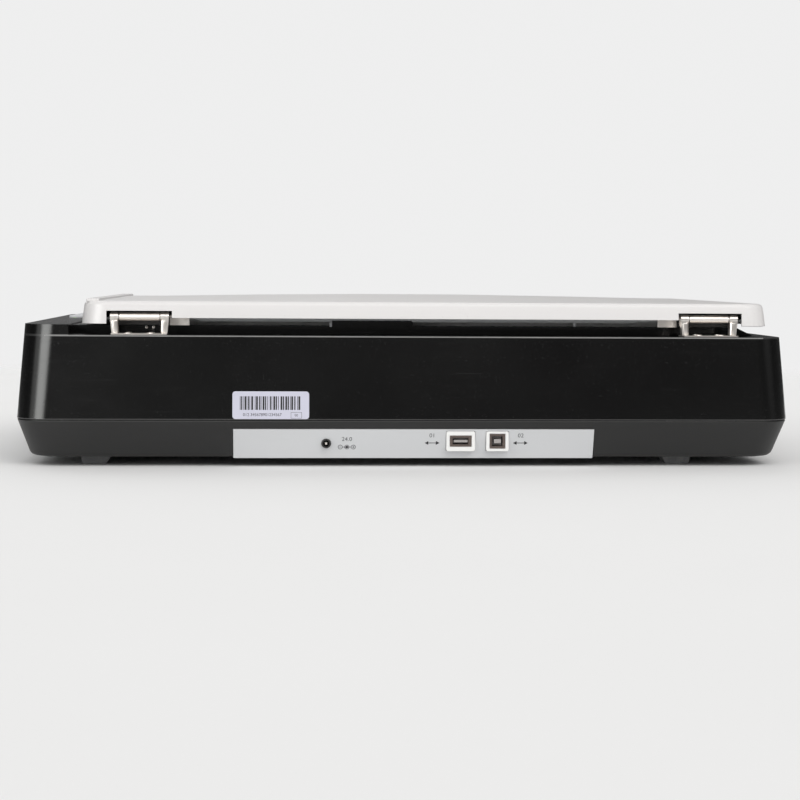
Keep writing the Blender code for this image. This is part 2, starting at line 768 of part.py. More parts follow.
def socket_opening():
    half_x = SOCKET_PANEL_WIDTH / 2 + GAP
    half_y = SOCKET_PANEL_HEIGHT / 2 + GAP
    low = (-half_x, -half_y - OVERRUN, -OVERRUN)
    return on_slope(block("socket_opening", low, (half_x, half_y, SOCKET_PANEL_THICKNESS + GAP)))


def connector_panel():
    """The light grey plate that closes the opening and lets the sockets through."""
    half_x = SOCKET_PANEL_WIDTH / 2
    half_y = SOCKET_PANEL_HEIGHT / 2
    panel = on_slope(
        block(
            "connector_panel",
            (-half_x, -half_y, 0.0),
            (half_x, half_y, SOCKET_PANEL_THICKNESS),
            "light_panel",
        )
    )
    deep = BODY_DEPTH / 2 - 2 * BEZEL_DEPTH
    jack_hole = cylinder(
        "jack_hole", JACK_RADIUS + GAP, (JACK_X, deep, JACK_Z), (JACK_X, BODY_DEPTH / 2, JACK_Z)
    )
    cut(panel, jack_hole)
    for name, port in PORTS.items():
        size = (port["bezel_width"] + 2 * GAP, BEZEL_HEIGHT + 2 * GAP)
        hole = port_block(f"{name}_hole", port, size, BODY_DEPTH / 2, deep, corner=BEZEL_CORNER)
        cut(panel, hole)


def port_block(name, port, size, face, back, finish=None, corner=0.0):
    """A block centred on a port's line, between two depths, its corners rounded as seen from behind."""
    width, height = size
    outline = rounded_rectangle(width, height, corner)
    place = (port["x"], (face + back) / 2, PORT_Z)
    return extruded(name, [outline], face - back, place, ALONG_Y, finish)


def rounded_rectangle(width, height, radius):
    """The outline of a rectangle about the origin, its corners rounded where a radius is given."""
    x = width / 2 - radius
    y = height / 2 - radius
    if not radius:
        return [(x, y), (-x, y), (-x, -y), (x, -y)]
    outline = []
    for turn, centre in enumerate(((x, y), (-x, y), (-x, -y), (x, -y))):
        outline += arc(centre, radius, 90 * turn, 90 * turn + 90, CORNER_STEPS // 2)
    return outline


def ports():
    """Two data sockets, each a white bezel, a sheet metal shell and a plastic insert."""
    face = SOCKET_FACE_Y
    for name, port in PORTS.items():
        flange = port["flange"]
        opening = port["opening"]
        body = tuple(side + 2 * PORT_SHEET for side in opening)
        outer = (port["bezel_width"], BEZEL_HEIGHT)
        bezel = port_block(
            f"{name}_bezel", port, outer, face, face - BEZEL_DEPTH, "white_plastic", BEZEL_CORNER
        )
        seat = tuple(side + 2 * GAP for side in flange)
        through = tuple(side + 2 * GAP for side in body)
        flange_back = face - PORT_FLANGE
        cut(bezel, port_block(f"{name}_seat", port, seat, face + OVERRUN, flange_back - GAP))
        cut(bezel, port_block(f"{name}_bore", port, through, face, face - 2 * BEZEL_DEPTH))
        shell = port_block(f"{name}_shell", port, flange, face, flange_back, "steel")
        join(shell, port_block(f"{name}_can", port, body, face - GAP, face - PORT_DEPTH))
        back = face - PORT_CAVITY
        cut(shell, port_block(f"{name}_cavity", port, opening, face + OVERRUN, back))
        port_insert(name, port, back)


def port_insert(name, port, back):
    """The plastic block at the back of the opening and the tongue that stands on it."""
    base = tuple(side - 2 * GAP for side in port["opening"])
    tongue_face = SOCKET_FACE_Y - TONGUE_SETBACK
    root = back + GAP
    face = root + INSERT_DEPTH
    insert = port_block(f"{name}_insert", port, base, face, root, "white_plastic")
    join(insert, port_block(f"{name}_tongue", port, port["tongue"], tongue_face, face - GAP))


def power_socket():
    """The round low-voltage socket: a black body with a bore, and the bright pin in it."""
    face = slope_y(JACK_Z - JACK_RADIUS) + JACK_PROUD
    root = jack_root()
    half = JACK_BODY / 2
    low = (JACK_X - half, root - JACK_DEPTH, JACK_Z - half)
    body = block("power_socket", low, (JACK_X + half, root, JACK_Z + half), "black_plastic")
    join(body, cylinder("jack_nozzle", JACK_RADIUS, *along_y(JACK_X, root - half, face, JACK_Z)))
    bore_end = face - JACK_DEPTH
    cut(body, cylinder("jack_bore", JACK_BORE, *along_y(JACK_X, bore_end, face + OVERRUN, JACK_Z)))
    round_edges(body, JACK_ROUNDING)
    pin = along_y(JACK_X, bore_end + GAP, face - JACK_PIN_SETBACK, JACK_Z)
    cylinder("power_socket_pin", JACK_PIN_RADIUS, *pin, "nickel", sides=SMALL_SIDES)


def jack_root():
    """How far back the socket's square body reaches, just inside the sloping panel."""
    return slope_y(JACK_Z - JACK_BODY / 2) - WALL - GAP


def slope_y(z):
    """Where the tub's rear face is at a height."""
    return tub_half(z, 0)[1]


def along_y(x, y0, y1, z):
    return (x, y0, z), (x, y1, z)


def main_board():
    """The circuit board that the sockets stand on, with its larger chips."""
    low = (SOCKET_PANEL_X - BOARD_LENGTH / 2, BOARD_REAR_Y - BOARD_WIDTH, BOARD_Z)
    high = (SOCKET_PANEL_X + BOARD_LENGTH / 2, BOARD_REAR_Y, BOARD_TOP_Z)
    board = block("main_board", low, high, "board_green")
    chip_shares = ((0.25, 0.35, 0.09), (0.52, 0.30, 0.13), (0.78, 0.40, 0.07))
    for index, (x_share, y_share, size_share) in enumerate(chip_shares):
        x = low[0] + BOARD_LENGTH * x_share
        y = low[1] + BOARD_WIDTH * y_share
        half = BOARD_LENGTH * size_share / 2
        foot = (x - half, y - half, BOARD_TOP_Z - BOARD_THICKNESS / 2)
        join(board, block(f"chip_{index}", foot, (x + half, y + half, BOARD_TOP_Z + CHIP_HEIGHT)))
    half = JACK_BODY / 2 + GAP
    low = (JACK_X - half, jack_root() - JACK_DEPTH - GAP, BOARD_Z - OVERRUN)
    cut(board, block("jack_notch", low, (JACK_X + half, BODY_DEPTH / 2, BOARD_TOP_Z + OVERRUN)))


def key_places():
    return [(KEY_X, KEY_FIRST_Y + index * KEY_PITCH) for index in range(KEY_COUNT)]


def key_outline(grow):
    return rounded_rectangle(KEY_WIDTH + 2 * grow, KEY_LENGTH + 2 * grow, KEY_CORNER + grow)


def key_holes():
    holes = []
    middle = (CEILING_Z + DECK_Z) / 2
    for index, (x, y) in enumerate(key_places()):
        place = (x, y, middle)
        holes.append(extruded(f"key_hole_{index}", [key_outline(GAP)], 4 * WALL, place))
    lens = rounded_rectangle(STATUS_WIDTH + 2 * GAP, STATUS_LENGTH + 2 * GAP, STATUS_CORNER)
    holes.append(extruded("lens_hole", [lens], 4 * WALL, (KEY_X, STATUS_Y, middle)))
    return holes


def keys():
    """The push keys, each held under the deck by its flange, over the key board."""
    for index, (x, y) in enumerate(key_places()):
        place = (x, y, STRIP_Z + KEY_PROUD)
        axis = pivot(f"key_{index + 1}_axis", place)
        flange_top = CEILING_Z - GAP
        cap_height = STRIP_Z + KEY_PROUD - (flange_top - KEY_FLANGE_THICKNESS / 2)
        centre = (x, y, STRIP_Z + KEY_PROUD - cap_height / 2)
        key = extruded(f"key_{index + 1}", [key_outline(0)], cap_height, centre, ALONG_Z, "grey_panel")
        round_edges(key, KEY_ROUNDING)
        flange_centre = (x, y, flange_top - KEY_FLANGE_THICKNESS / 2)
        outline = key_outline(KEY_FLANGE)
        join(key, extruded(f"key_flange_{index}", [outline], KEY_FLANGE_THICKNESS, flange_centre))
        stem_foot = key_board_top() + KEY_STEM_GAP
        stem = upright(f"key_stem_{index}", KEY_STEM, x, y, stem_foot, flange_top, sides=THIN_SIDES)
        join(key, stem)
        carry(axis, key)


def key_board_top():
    return CEILING_Z - KEY_BOARD_DROP


def key_board_ends():
    return KEY_FIRST_Y - KEY_BOARD_MARGIN, STATUS_Y + KEY_BOARD_MARGIN


def key_board():
    """The narrow board under the keys, hung from bosses, and the status lamp's lens."""
    front, rear = key_board_ends()
    half = KEY_BOARD_WIDTH / 2
    top = key_board_top()
    low = (KEY_X - half, front, top - KEY_BOARD_THICKNESS)
    block("key_board", low, (KEY_X + half, rear, top), "board_green")
    lens = rounded_rectangle(STATUS_WIDTH, STATUS_LENGTH, STATUS_CORNER)
    foot = top + KEY_STEM_GAP
    height = STRIP_Z + GAP - foot
    middle = (KEY_X, STATUS_Y, foot + height / 2)
    extruded("status_lens", [lens], height, middle, ALONG_Z, "amber_lens")


def key_board_bosses():
    front, rear = key_board_ends()
    ends = (key_board_top() + GAP, CEILING_Z + WALL / 2)
    return [
        upright(f"key_boss_{index}", KEY_BOSS_RADIUS, KEY_X, y, *ends)
        for index, y in enumerate((front + KEY_BOSS_RADIUS, rear - KEY_BOSS_RADIUS))
    ]


def motor_and_bracket():
    """The drive motor, hung under a bent plate that stands on the tub's floor."""
    under = BRACKET_TOP_Z - BRACKET_SHEET - GAP
    motor = cylinder(
        "drive_motor",
        MOTOR_RADIUS,
        (DRIVE_X, MOTOR_Y, under - MOTOR_LENGTH),
        (DRIVE_X, MOTOR_Y, under),
        "steel",
    )
    shaft_ends = (under - MOTOR_LENGTH / 2, GEAR_Z + GEAR_THICKNESS + GEAR_LIFT)
    join(motor, upright("motor_shaft", MOTOR_SHAFT_RADIUS, DRIVE_X, MOTOR_Y, *shaft_ends))
    front = BELT_Y - BRACKET_FRONT
    rear = MOTOR_Y + MOTOR_RADIUS + BRACKET_REAR
    foot = FLOOR_Z + GAP + BRACKET_SHEET / 2
    top = BRACKET_TOP_Z - BRACKET_SHEET / 2
    line = [
        (front - BRACKET_FOOT, foot),
        (front, foot),
        (front, top),
        (rear, top),
        (rear, foot),
        (rear + BRACKET_FOOT, foot),
    ]
    section = sheet_section(line, BRACKET_SHEET)
    bracket = extruded(
        "motor_bracket", [section], BRACKET_LENGTH, (DRIVE_X, 0, 0), ALONG_X, "steel"
    )
    through = (under - GAP, BRACKET_TOP_Z + OVERRUN)
    shaft_hole = MOTOR_SHAFT_RADIUS + GAP
    cut(
        bracket,
        upright("shaft_hole", shaft_hole, DRIVE_X, MOTOR_Y, *through),
        upright("gear_axle_hole", AXLE_RADIUS + GAP, DRIVE_X, BELT_Y, *through),
    )


def upright(name, radius, x, y, bottom, top, finish=None, sides=SMALL_SIDES):
    return cylinder(name, radius, (x, y, bottom), (x, y, top), finish, sides)


def gear_outline(teeth, first_degrees):
    """A spur gear's outline, with four points to a tooth. The first tooth is at an angle."""
    pitch_radius = GEAR_MODULE * teeth / 2
    tip = pitch_radius + ADDENDUM_SHARE * GEAR_MODULE
    root = pitch_radius - DEDENDUM_SHARE * GEAR_MODULE
    step = 360 / teeth
    corners = zip(TOOTH_SHARES, (root, tip, tip, root))
    outline = []
    for tooth, (share, radius) in itertools.product(range(teeth), list(corners)):
        angle = math.radians(first_degrees + (tooth + share) * step)
        outline.append((radius * math.cos(angle), radius * math.sin(angle)))
    return outline


def pulley_profile(bottom):
    """A flanged drum for the belt, from its top down to a hub's foot or its lower flange."""
    drum = PULLEY_PITCH_RADIUS - BELT_THICKNESS / 2 - GAP
    upper = BELT_TOP_Z + GAP
    lower = BELT_Z - GAP
    profile = [
        (0.0, upper + PULLEY_FLANGE),
        (PULLEY_FLANGE_RADIUS, upper + PULLEY_FLANGE),
        (PULLEY_FLANGE_RADIUS, upper),
        (drum, upper),
        (drum, lower),
        (PULLEY_FLANGE_RADIUS, lower),
        (PULLEY_FLANGE_RADIUS, lower - PULLEY_FLANGE),
    ]
    if bottom < lower - PULLEY_FLANGE:
        profile += [(drum, lower - PULLEY_FLANGE), (drum, bottom)]
    return profile + [(0.0, profile[-1][1])]


def gears():
    """The pinion on the motor, and the wheel that it turns with the belt's drive pulley."""
    centre = (DRIVE_X, BELT_Y, 0)
    wheel_axis = pivot("reduction_gear_axis", centre)
    wheel = turned(
        "reduction_gear", pulley_profile(GEAR_Z + GEAR_THICKNESS / 2), centre, "natural_plastic"
    )
    middle = GEAR_Z + GEAR_THICKNESS / 2
    half_tooth = 180 / GEAR_TEETH
    teeth = gear_outline(GEAR_TEETH, 90 + half_tooth)
    join(wheel, extruded("wheel_teeth", [teeth], GEAR_THICKNESS, (DRIVE_X, BELT_Y, middle)))
    bore = (GEAR_Z - OVERRUN, BELT_TOP_Z + OVERRUN)
    cut(wheel, upright("wheel_bore", AXLE_RADIUS + GAP, DRIVE_X, BELT_Y, *bore))
    carry(wheel_axis, wheel)
    axle_ends = (BRACKET_TOP_Z - BRACKET_SHEET, BELT_TOP_Z + 2 * PULLEY_FLANGE)
    upright("gear_axle", AXLE_RADIUS, DRIVE_X, BELT_Y, *axle_ends, "steel")
    pinion_axis = pivot("motor_pinion_axis", (DRIVE_X, MOTOR_Y, 0))
    outline = gear_outline(PINION_TEETH, 270)
    place = (DRIVE_X, MOTOR_Y, middle)
    pinion = extruded("motor_pinion", [outline], GEAR_THICKNESS, place, ALONG_Z, "brass")
    cut(pinion, upright("pinion_bore", MOTOR_SHAFT_RADIUS + GAP, DRIVE_X, MOTOR_Y, *bore))
    carry(pinion_axis, pinion)


def idler():
    """The belt's far pulley in its bracket, drawn back by a spring to a post of the tub."""
    axis = pivot("idler_pulley_axis", (IDLER_X, BELT_Y, 0))
    pulley = turned("idler_pulley", pulley_profile(BELT_Z), (IDLER_X, BELT_Y, 0), "natural_plastic")
    bore = (BELT_Z - OVERRUN, BELT_TOP_Z + OVERRUN)
    cut(pulley, upright("idler_bore", AXLE_RADIUS + GAP, IDLER_X, BELT_Y, *bore))
    carry(axis, pulley)
    bottom, top, web = idler_bracket_line()
    near = IDLER_X - IDLER_BRACKET_LENGTH / 2
    line = [(near, bottom), (web, bottom), (web, top), (near, top)]
    bracket = extruded(
        "idler_bracket",
        [sheet_section(line, BRACKET_SHEET)],
        IDLER_BRACKET_WIDTH,
        (0, BELT_Y, 0),
        ALONG_Y,
        "steel",
    )
    ends = (bottom - BRACKET_SHEET / 2, top + BRACKET_SHEET / 2)
    hole = (bottom - BRACKET_SHEET, top + BRACKET_SHEET)
    cut(bracket, upright("idler_axle_hole", AXLE_RADIUS + GAP, IDLER_X, BELT_Y, *hole))
    upright("idler_axle", AXLE_RADIUS, IDLER_X, BELT_Y, *ends, "steel")


def idler_bracket_line():
    """Heights of the bracket's two leaves and the place of the web, along the sheet's middle."""
    bottom = BELT_Z - GAP - PULLEY_FLANGE - GEAR_LIFT - BRACKET_SHEET / 2
    top = BELT_TOP_Z + GAP + PULLEY_FLANGE + GEAR_LIFT + BRACKET_SHEET / 2
    web = IDLER_X + PULLEY_FLANGE_RADIUS + GEAR_LIFT + BRACKET_SHEET / 2
    return bottom, top, web


def idler_post():
    """What the idler's bracket slides on."""
    half = IDLER_BRACKET_WIDTH / 4
    top = idler_bracket_line()[0] - BRACKET_SHEET / 2 - GAP
    low = (IDLER_X - half, BELT_Y - half, FLOOR_Z - WALL / 2)
    return block("idler_post", low, (IDLER_X + half, BELT_Y + half, top))


def spring_ends():
    start = idler_bracket_line()[2] + BRACKET_SHEET / 2 + GAP
    return start, start + SPRING_ROOM


def spring_post():
    """The post that holds the far end of the belt's tension spring."""
    x = spring_ends()[1] + GAP
    half = SPRING_RADIUS + SPRING_WIRE
    low = (x, BELT_Y - half, FLOOR_Z - WALL / 2)
    return block("spring_post", low, (x + SPRING_POST, BELT_Y + half, BELT_TOP_Z + half))


def tension_spring():
    """A close helix along X between the idler's bracket and its post."""
    start, end = spring_ends()
    count = SPRING_TURNS * SPRING_STEPS
    clear_ends = (end - start) - 2 * SPRING_WIRE
    middle = (BELT_Z + BELT_TOP_Z) / 2
    points = []
    for step in range(count + 1):
        angle = 2 * math.pi * step / SPRING_STEPS
        x = start + SPRING_WIRE + clear_ends * step / count
        y = BELT_Y + SPRING_RADIUS * math.cos(angle)
        points.append(Vector((x, y, middle + SPRING_RADIUS * math.sin(angle))))
    apart = min(
        (second - first).length
        for index, first in enumerate(points)
        for second in points[index + SPRING_STEPS // 2 :]
    )
    print(f"tension spring: {1000 * (apart - 2 * SPRING_WIRE):.2f} mm between its turns")
    wire("belt_tension_spring", points, SPRING_WIRE, "spring_steel")


def wire(name, points, radius, finish):
    """A round wire through a list of points, its ends capped."""
    curve = bpy.data.curves.new(name, "CURVE")
    curve.dimensions = "3D"
    curve.bevel_depth = radius
    curve.bevel_resolution = 1
    curve.use_fill_caps = True
    spline = curve.splines.new("POLY")
    spline.points.add(len(points) - 1)
    for place, point in zip(points, spline.points):
        point.co = (*place, 1.0)
    return add_object(name, curve, finish)


def drive_belt():
    """The closed belt round both pulleys."""
    outlines = []
    for side in (1, -1):
        radius = PULLEY_PITCH_RADIUS + side * BELT_THICKNESS / 2
        outline = arc((IDLER_X, BELT_Y), radius, -90, 90, BELT_STEPS)
        outlines.append(outline + arc((DRIVE_X, BELT_Y), radius, 90, 270, BELT_STEPS))
    place = (0, 0, BELT_Z + BELT_WIDTH / 2)
    extruded("drive_belt", outlines, BELT_WIDTH, place, ALONG_Z, "rubber")


def guide_rod_and_rail():
    """The round rod that the carriage slides on, and the bent rail under its front end."""
    rod_bore("guide_rod", ROD_RADIUS, "steel")
    top = shoe_bottom() - GAP - RAIL_SHEET / 2
    foot = FLOOR_Z + GAP + RAIL_SHEET / 2
    line = [
        (RAIL_Y - RAIL_FLANGE, foot),
        (RAIL_Y, foot),
        (RAIL_Y, top),
        (RAIL_Y + RAIL_FLANGE, top),
    ]
    length = BODY_WIDTH - 2 * RAIL_END_INSET
    section = sheet_section(line, RAIL_SHEET)
    extruded("support_rail", [section], length, (0, 0, 0), ALONG_X, "steel")


def shoe_bottom():
    return CARRIAGE_Z - GAP - SHOE_THICKNESS


def carriage_box(name, inset, bottom, top, finish=None):
    """A box in the carriage's outline, drawn in on all sides by an inset."""
    x = CARRIAGE_WIDTH / 2 - inset
    y = CARRIAGE_LENGTH / 2 - inset
    low = (CALIBRATION_X - x, WINDOW_Y - y, bottom)
    high = (CALIBRATION_X + x, WINDOW_Y + y, top)
    return block(name, low, high, finish, CARRIAGE_CORNER - inset)


def bush_radius():
    return ROD_RADIUS + GAP + BUSH_WALL


def carriage():
    """The scan head at its home end, under the calibration strip, with what rides in it."""
    home = pivot("carriage_home", (CALIBRATION_X, ROD_Y, ROD_Z))
    housing = carriage_box("carriage_housing", 0, CARRIAGE_Z, CARRIAGE_TOP_Z, "black_plastic")
    over = CARRIAGE_TOP_Z + OVERRUN
    cut(housing, carriage_box("carriage_cavity", CARRIAGE_WALL, CARRIAGE_FLOOR_Z, over))
    reach = bush_radius() + SADDLE_WALL
    half = CARRIAGE_WIDTH / 2
    low = (CALIBRATION_X - half, ROD_Y - reach, ROD_Z - reach)
    high = (CALIBRATION_X + half, ROD_Y + reach, CARRIAGE_Z + CARRIAGE_WALL / 2)
    join(housing, block("saddle", low, high))
    bore = along_x(CALIBRATION_X, half + OVERRUN, ROD_Y, ROD_Z)
    cut(housing, cylinder("saddle_bore", bush_radius() + GAP, *bore))
    cover = carriage_box(
        "carriage_cover", 0, CARRIAGE_TOP_Z + GAP, CARRIAGE_TOP_Z + GAP + COVER_THICKNESS, "steel"
    )
    slit_end = CARRIAGE_INNER_LENGTH / 2 - CARRIAGE_CORNER
    low = (CALIBRATION_X - SLIT_WIDTH / 2, WINDOW_Y - slit_end, CARRIAGE_TOP_Z - OVERRUN)
    cut(cover, block("slit", low, (CALIBRATION_X + SLIT_WIDTH / 2, WINDOW_Y + slit_end, over)))
    shoe_y = RAIL_Y + RAIL_FLANGE / 2
    low = (CALIBRATION_X - SHOE_LENGTH / 2, shoe_y - SHOE_WIDTH / 2, shoe_bottom())
    high = (CALIBRATION_X + SHOE_LENGTH / 2, shoe_y + SHOE_WIDTH / 2, CARRIAGE_Z - GAP)
    shoe = block("slide_shoe", low, high, "natural_plastic")
    carry(home, housing, cover, shoe, *bushes(), belt_clip(), *optics())


def along_x(middle, half_length, y, z):
    return (middle - half_length, y, z), (middle + half_length, y, z)


def bushes():
    """Two plain bushes, one at each end of the saddle's bore."""
    pieces = []
    offset = (CARRIAGE_WIDTH - BUSH_LENGTH) / 2
    for side, letter in ((1, "a"), (-1, "b")):
        x = CALIBRATION_X + side * offset
        ends = along_x(x, BUSH_LENGTH / 2, ROD_Y, ROD_Z)
        bush = cylinder(f"rod_bush_{letter}", bush_radius(), *ends, "brass")
        bore = along_x(x, BUSH_LENGTH, ROD_Y, ROD_Z)
        cut(bush, cylinder(f"bush_bore_{letter}", ROD_RADIUS + GAP, *bore))
        pieces.append(bush)
    return pieces


def belt_clip():
    """The clip under the carriage that grips the belt's near run."""
    run = BELT_Y - PULLEY_PITCH_RADIUS
    half_slot = BELT_THICKNESS / 2 + GAP
    half = half_slot + CLIP_WALL
    low = (CALIBRATION_X - CLIP_LENGTH / 2, run - half, BELT_Z - GAP - CLIP_WALL)
    high = (CALIBRATION_X + CLIP_LENGTH / 2, run + half, CARRIAGE_Z - GAP)
    clip = block("belt_clip", low, high, "natural_plastic")
    low = (CALIBRATION_X - CLIP_LENGTH, run - half_slot, BELT_Z - GAP)
    high = (CALIBRATION_X + CLIP_LENGTH, run + half_slot, BELT_TOP_Z + GAP)
    cut(clip, block("clip_slot", low, high))
    return clip


def optics():
    """The lamp, the three mirrors that fold the light, the lens and the sensor's board."""
    half_y = CARRIAGE_INNER_LENGTH / 2 - GAP
    lamp_x = CALIBRATION_X + LAMP_OFFSET_X
    lamp_z = CARRIAGE_TOP_Z - LAMP_DROP
    ends = along_y(lamp_x, WINDOW_Y - half_y, WINDOW_Y + half_y, lamp_z)
    pieces = [cylinder("scan_lamp", LAMP_RADIUS, *ends, "white_plastic", THIN_SIDES)]
    half_width = CARRIAGE_HEIGHT * MIRROR_WIDTH_SHARE / 2
    for index, (x_share, z_share, degrees) in enumerate(MIRROR_SHARES):
        x = CALIBRATION_X + CARRIAGE_WIDTH * x_share
        z = CARRIAGE_Z + CARRIAGE_HEIGHT * z_share
        low = (x - half_width, WINDOW_Y - half_y, z - MIRROR_THICKNESS / 2)
        high = (x + half_width, WINDOW_Y + half_y, z + MIRROR_THICKNESS / 2)
        mirror = block(f"mirror_{index + 1}", low, high, "mirror")
        mirror.rotation_euler = (0, math.radians(degrees), 0)
        pieces.append(mirror)
    lens_x = CALIBRATION_X + CARRIAGE_WIDTH * LENS_X_SHARE
    lens_radius = CARRIAGE_HEIGHT * LENS_RADIUS_SHARE
    ends = along_x(lens_x, LENS_LENGTH / 2, WINDOW_Y, CARRIAGE_FLOOR_Z + GAP + lens_radius)
    pieces.append(cylinder("lens_barrel", lens_radius, *ends, "black_plastic"))
    inner_x = CALIBRATION_X + CARRIAGE_WIDTH / 2 - CARRIAGE_WALL - GAP
    foot = CARRIAGE_FLOOR_Z + GAP
    low = (inner_x - SENSOR_THICKNESS, WINDOW_Y - SENSOR_LENGTH / 2, foot)
    high = (inner_x, WINDOW_Y + SENSOR_LENGTH / 2, foot + CARRIAGE_HEIGHT * SENSOR_HEIGHT_SHARE)
    pieces.append(block("sensor_board", low, high, "board_green"))
    return pieces


def lid_cover():
    """The white cover: a crowned top, drafted skirts and a raised bead along its +X end."""
    shape = bmesh.new()
    cells_x, cells_y = CROWN_CELLS
    bmesh.ops.create_grid(shape, x_segments=cells_x, y_segments=cells_y, size=1.0)
    top_x = LID_LENGTH / 2 - LID_DRAFT_INSET
    top_y = LID_DEPTH / 2 - LID_DRAFT_INSET
    for vert in shape.verts:
        x, y, _ = vert.co
        vert.co = (x * top_x, y * top_y, LID_CROWN * (1 - x * x) * (1 - y * y))
    edge = [e for e in shape.edges if e.is_boundary]
    skirt = bmesh.ops.extrude_edge_only(shape, edges=edge)["geom"]
    for vert in [item for item in skirt if isinstance(item, bmesh.types.BMVert)]:
        at_end = abs(vert.co.x) > top_x - GAP
        at_side = abs(vert.co.y) > top_y - GAP
        vert.co.x += math.copysign(LID_DRAFT_INSET, vert.co.x) * at_end
        vert.co.y += math.copysign(LID_DRAFT_INSET, vert.co.y) * at_side
        vert.co.z = -LID_SIDE_HEIGHT
    bmesh.ops.recalc_face_normals(shape, faces=shape.faces)
    if sum(face.normal.z * face.calc_area() for face in shape.faces) < 0:
        bmesh.ops.reverse_faces(shape, faces=shape.faces)
    corners = [e for e in shape.edges if is_upright_corner(e)]
    bevel_edges(shape, corners, LID_CORNER_RADIUS, LID_CORNER_SEGMENTS)
    rim = [e for e in shape.edges if len(e.link_faces) == 2 and is_top_rim(e)]
    bevel_edges(shape, rim, LID_EDGE_RADIUS, LID_EDGE_SEGMENTS)
    cover = add_shape("lid_cover", shape, "white_cover", smooth=True)
    cover.location = (LID_X, LID_Y, LID_TOP_Z)
    solidify = cover.modifiers.new("wall", "SOLIDIFY")
    solidify.thickness = LID_WALL
    solidify.offset = -1
    solidify.use_even_offset = True
    join(cover, lid_bead())
    cut(cover, *skirt_cutters())
    return cover


def bevel_edges(shape, edges, width, segments):
    bmesh.ops.bevel(
        shape, geom=edges, offset=width, segments=segments, profile=0.5, affect="EDGES"
    )


def is_upright_corner(edge):
    """An edge down a corner of the skirt."""
    heights = sorted(vert.co.z for vert in edge.verts)
    sharp = len(edge.link_faces) == 2 and edge.calc_face_angle() > CORNER_ABOVE
    return sharp and heights[1] - heights[0] > LID_SIDE_HEIGHT / 2


def is_top_rim(edge):
    """An edge where the skirt meets the top."""
    level = all(abs(vert.co.z) < GAP for vert in edge.verts)
    return level and edge.calc_face_angle() > CORNER_ABOVE


def lid_bead():
    """The rib along the cover's +X end."""
    outer = LID_X + LID_LENGTH / 2 - BEAD_INSET
    half_y = LID_DEPTH / 2 - LID_CORNER_RADIUS / 2
    low = (outer - BEAD_WIDTH, LID_Y - half_y, LID_TOP_Z - LID_WALL / 2)
    bead = block("lid_bead", low, (outer, LID_Y + half_y, LID_TOP_Z + BEAD_RISE))
    round_edges(bead, BEAD_RISE / 2)
    return bead


def skirt_cutters():
    """What the rear skirt lacks: a hinge cut-out at each end and a shallow stretch between."""
    front = LID_REAR_Y - LID_DRAFT_INSET - LID_WALL - OVERRUN
    rear = LID_REAR_Y + OVERRUN
    below = LID_Z - OVERRUN
    left = HINGES_X["left"]
    right = HINGES_X["right"]
    cutters = [block("skirt_cut", (right, front, below), (left, rear, LID_Z + LID_SKIRT_RISE))]
    for side, x in HINGES_X.items():
        low = (x - CUTOUT_WIDTH / 2, front, below)
        high = (x + CUTOUT_WIDTH / 2, rear, HINGE_Z + CUTOUT_RISE)
        cutters.append(block(f"hinge_cutout_{side}", low, high))
    return cutters


def lid_panel():
    """The flat panel that closes the lid below, with the lip, notch and tabs of its rear edge."""
    inset = LID_WALL + LID_DRAFT_INSET / 2 + GAP
    x = LID_LENGTH / 2 - inset
    front = LID_REAR_Y - LID_DEPTH + inset
    rear = LIP_Y + LIP_THICKNESS / 2
    corner = LID_CORNER_RADIUS - LID_WALL
    low = (LID_X - x, front, PANEL_Z)
    high = (LID_X + x, rear, PANEL_TOP_Z)
    panel = block("lid_inner_panel", low, high, "grey_panel", corner)
    lip_front = LIP_Y - LIP_THICKNESS / 2
    for index, (start, end) in enumerate(LIP_STRETCHES_X):
        low = (start, lip_front, PANEL_Z - LIP_DROP)
        join(panel, block(f"lip_{index}", low, (end, rear, PANEL_TOP_Z - LIP_DROP)))
    for index, (x, drop) in enumerate(TABS):
        low = (x - TAB_WIDTH / 2, lip_front, PANEL_Z - drop)
        high = (x + TAB_WIDTH / 2, rear - GAP, PANEL_Z + LIP_DROP)
        join(panel, block(f"tab_{index}", low, high))
    half = LOCATOR_WIDTH / 2 + LOCATOR_ROOM
    notch_front = DECK_REAR_Y - LOCATOR_DEPTH - 2 * LOCATOR_ROOM
    low = (LOCATOR_X - half, notch_front, PANEL_Z - OVERRUN)
    high = (LOCATOR_X + half, lip_front - GAP, LID_TOP_Z)
    cut(panel, block("locator_notch", low, high))
    return panel


def document_pad():
    """The foam mat that presses the sheet on the glass, in the window when the lid is shut."""
    pad = around_window(
        "document_pad", -PAD_MARGIN, -PAD_MARGIN, GLASS_TOP_Z + GAP, PANEL_Z - GAP, "foam", PAD_MARGIN
    )
    round_edges(pad, PAD_ROUNDING)
    return pad


def bumpers():
    """Two rubber buttons near the front corners, which the shut lid stands on."""
    pieces = []
    y = WINDOW_Y - WINDOW_WIDTH / 2 + BUMPER_INSET / 2
    for side_x, side in ((1, "left"), (-1, "right")):
        x = WINDOW_X + side_x * (WINDOW_LENGTH / 2 + BUMPER_INSET)
        ends = (DECK_Z + GAP, PANEL_Z - GAP)
        pieces.append(upright(f"bumper_{side}", BUMPER_RADIUS, x, y, *ends, "rubber"))
    return pieces


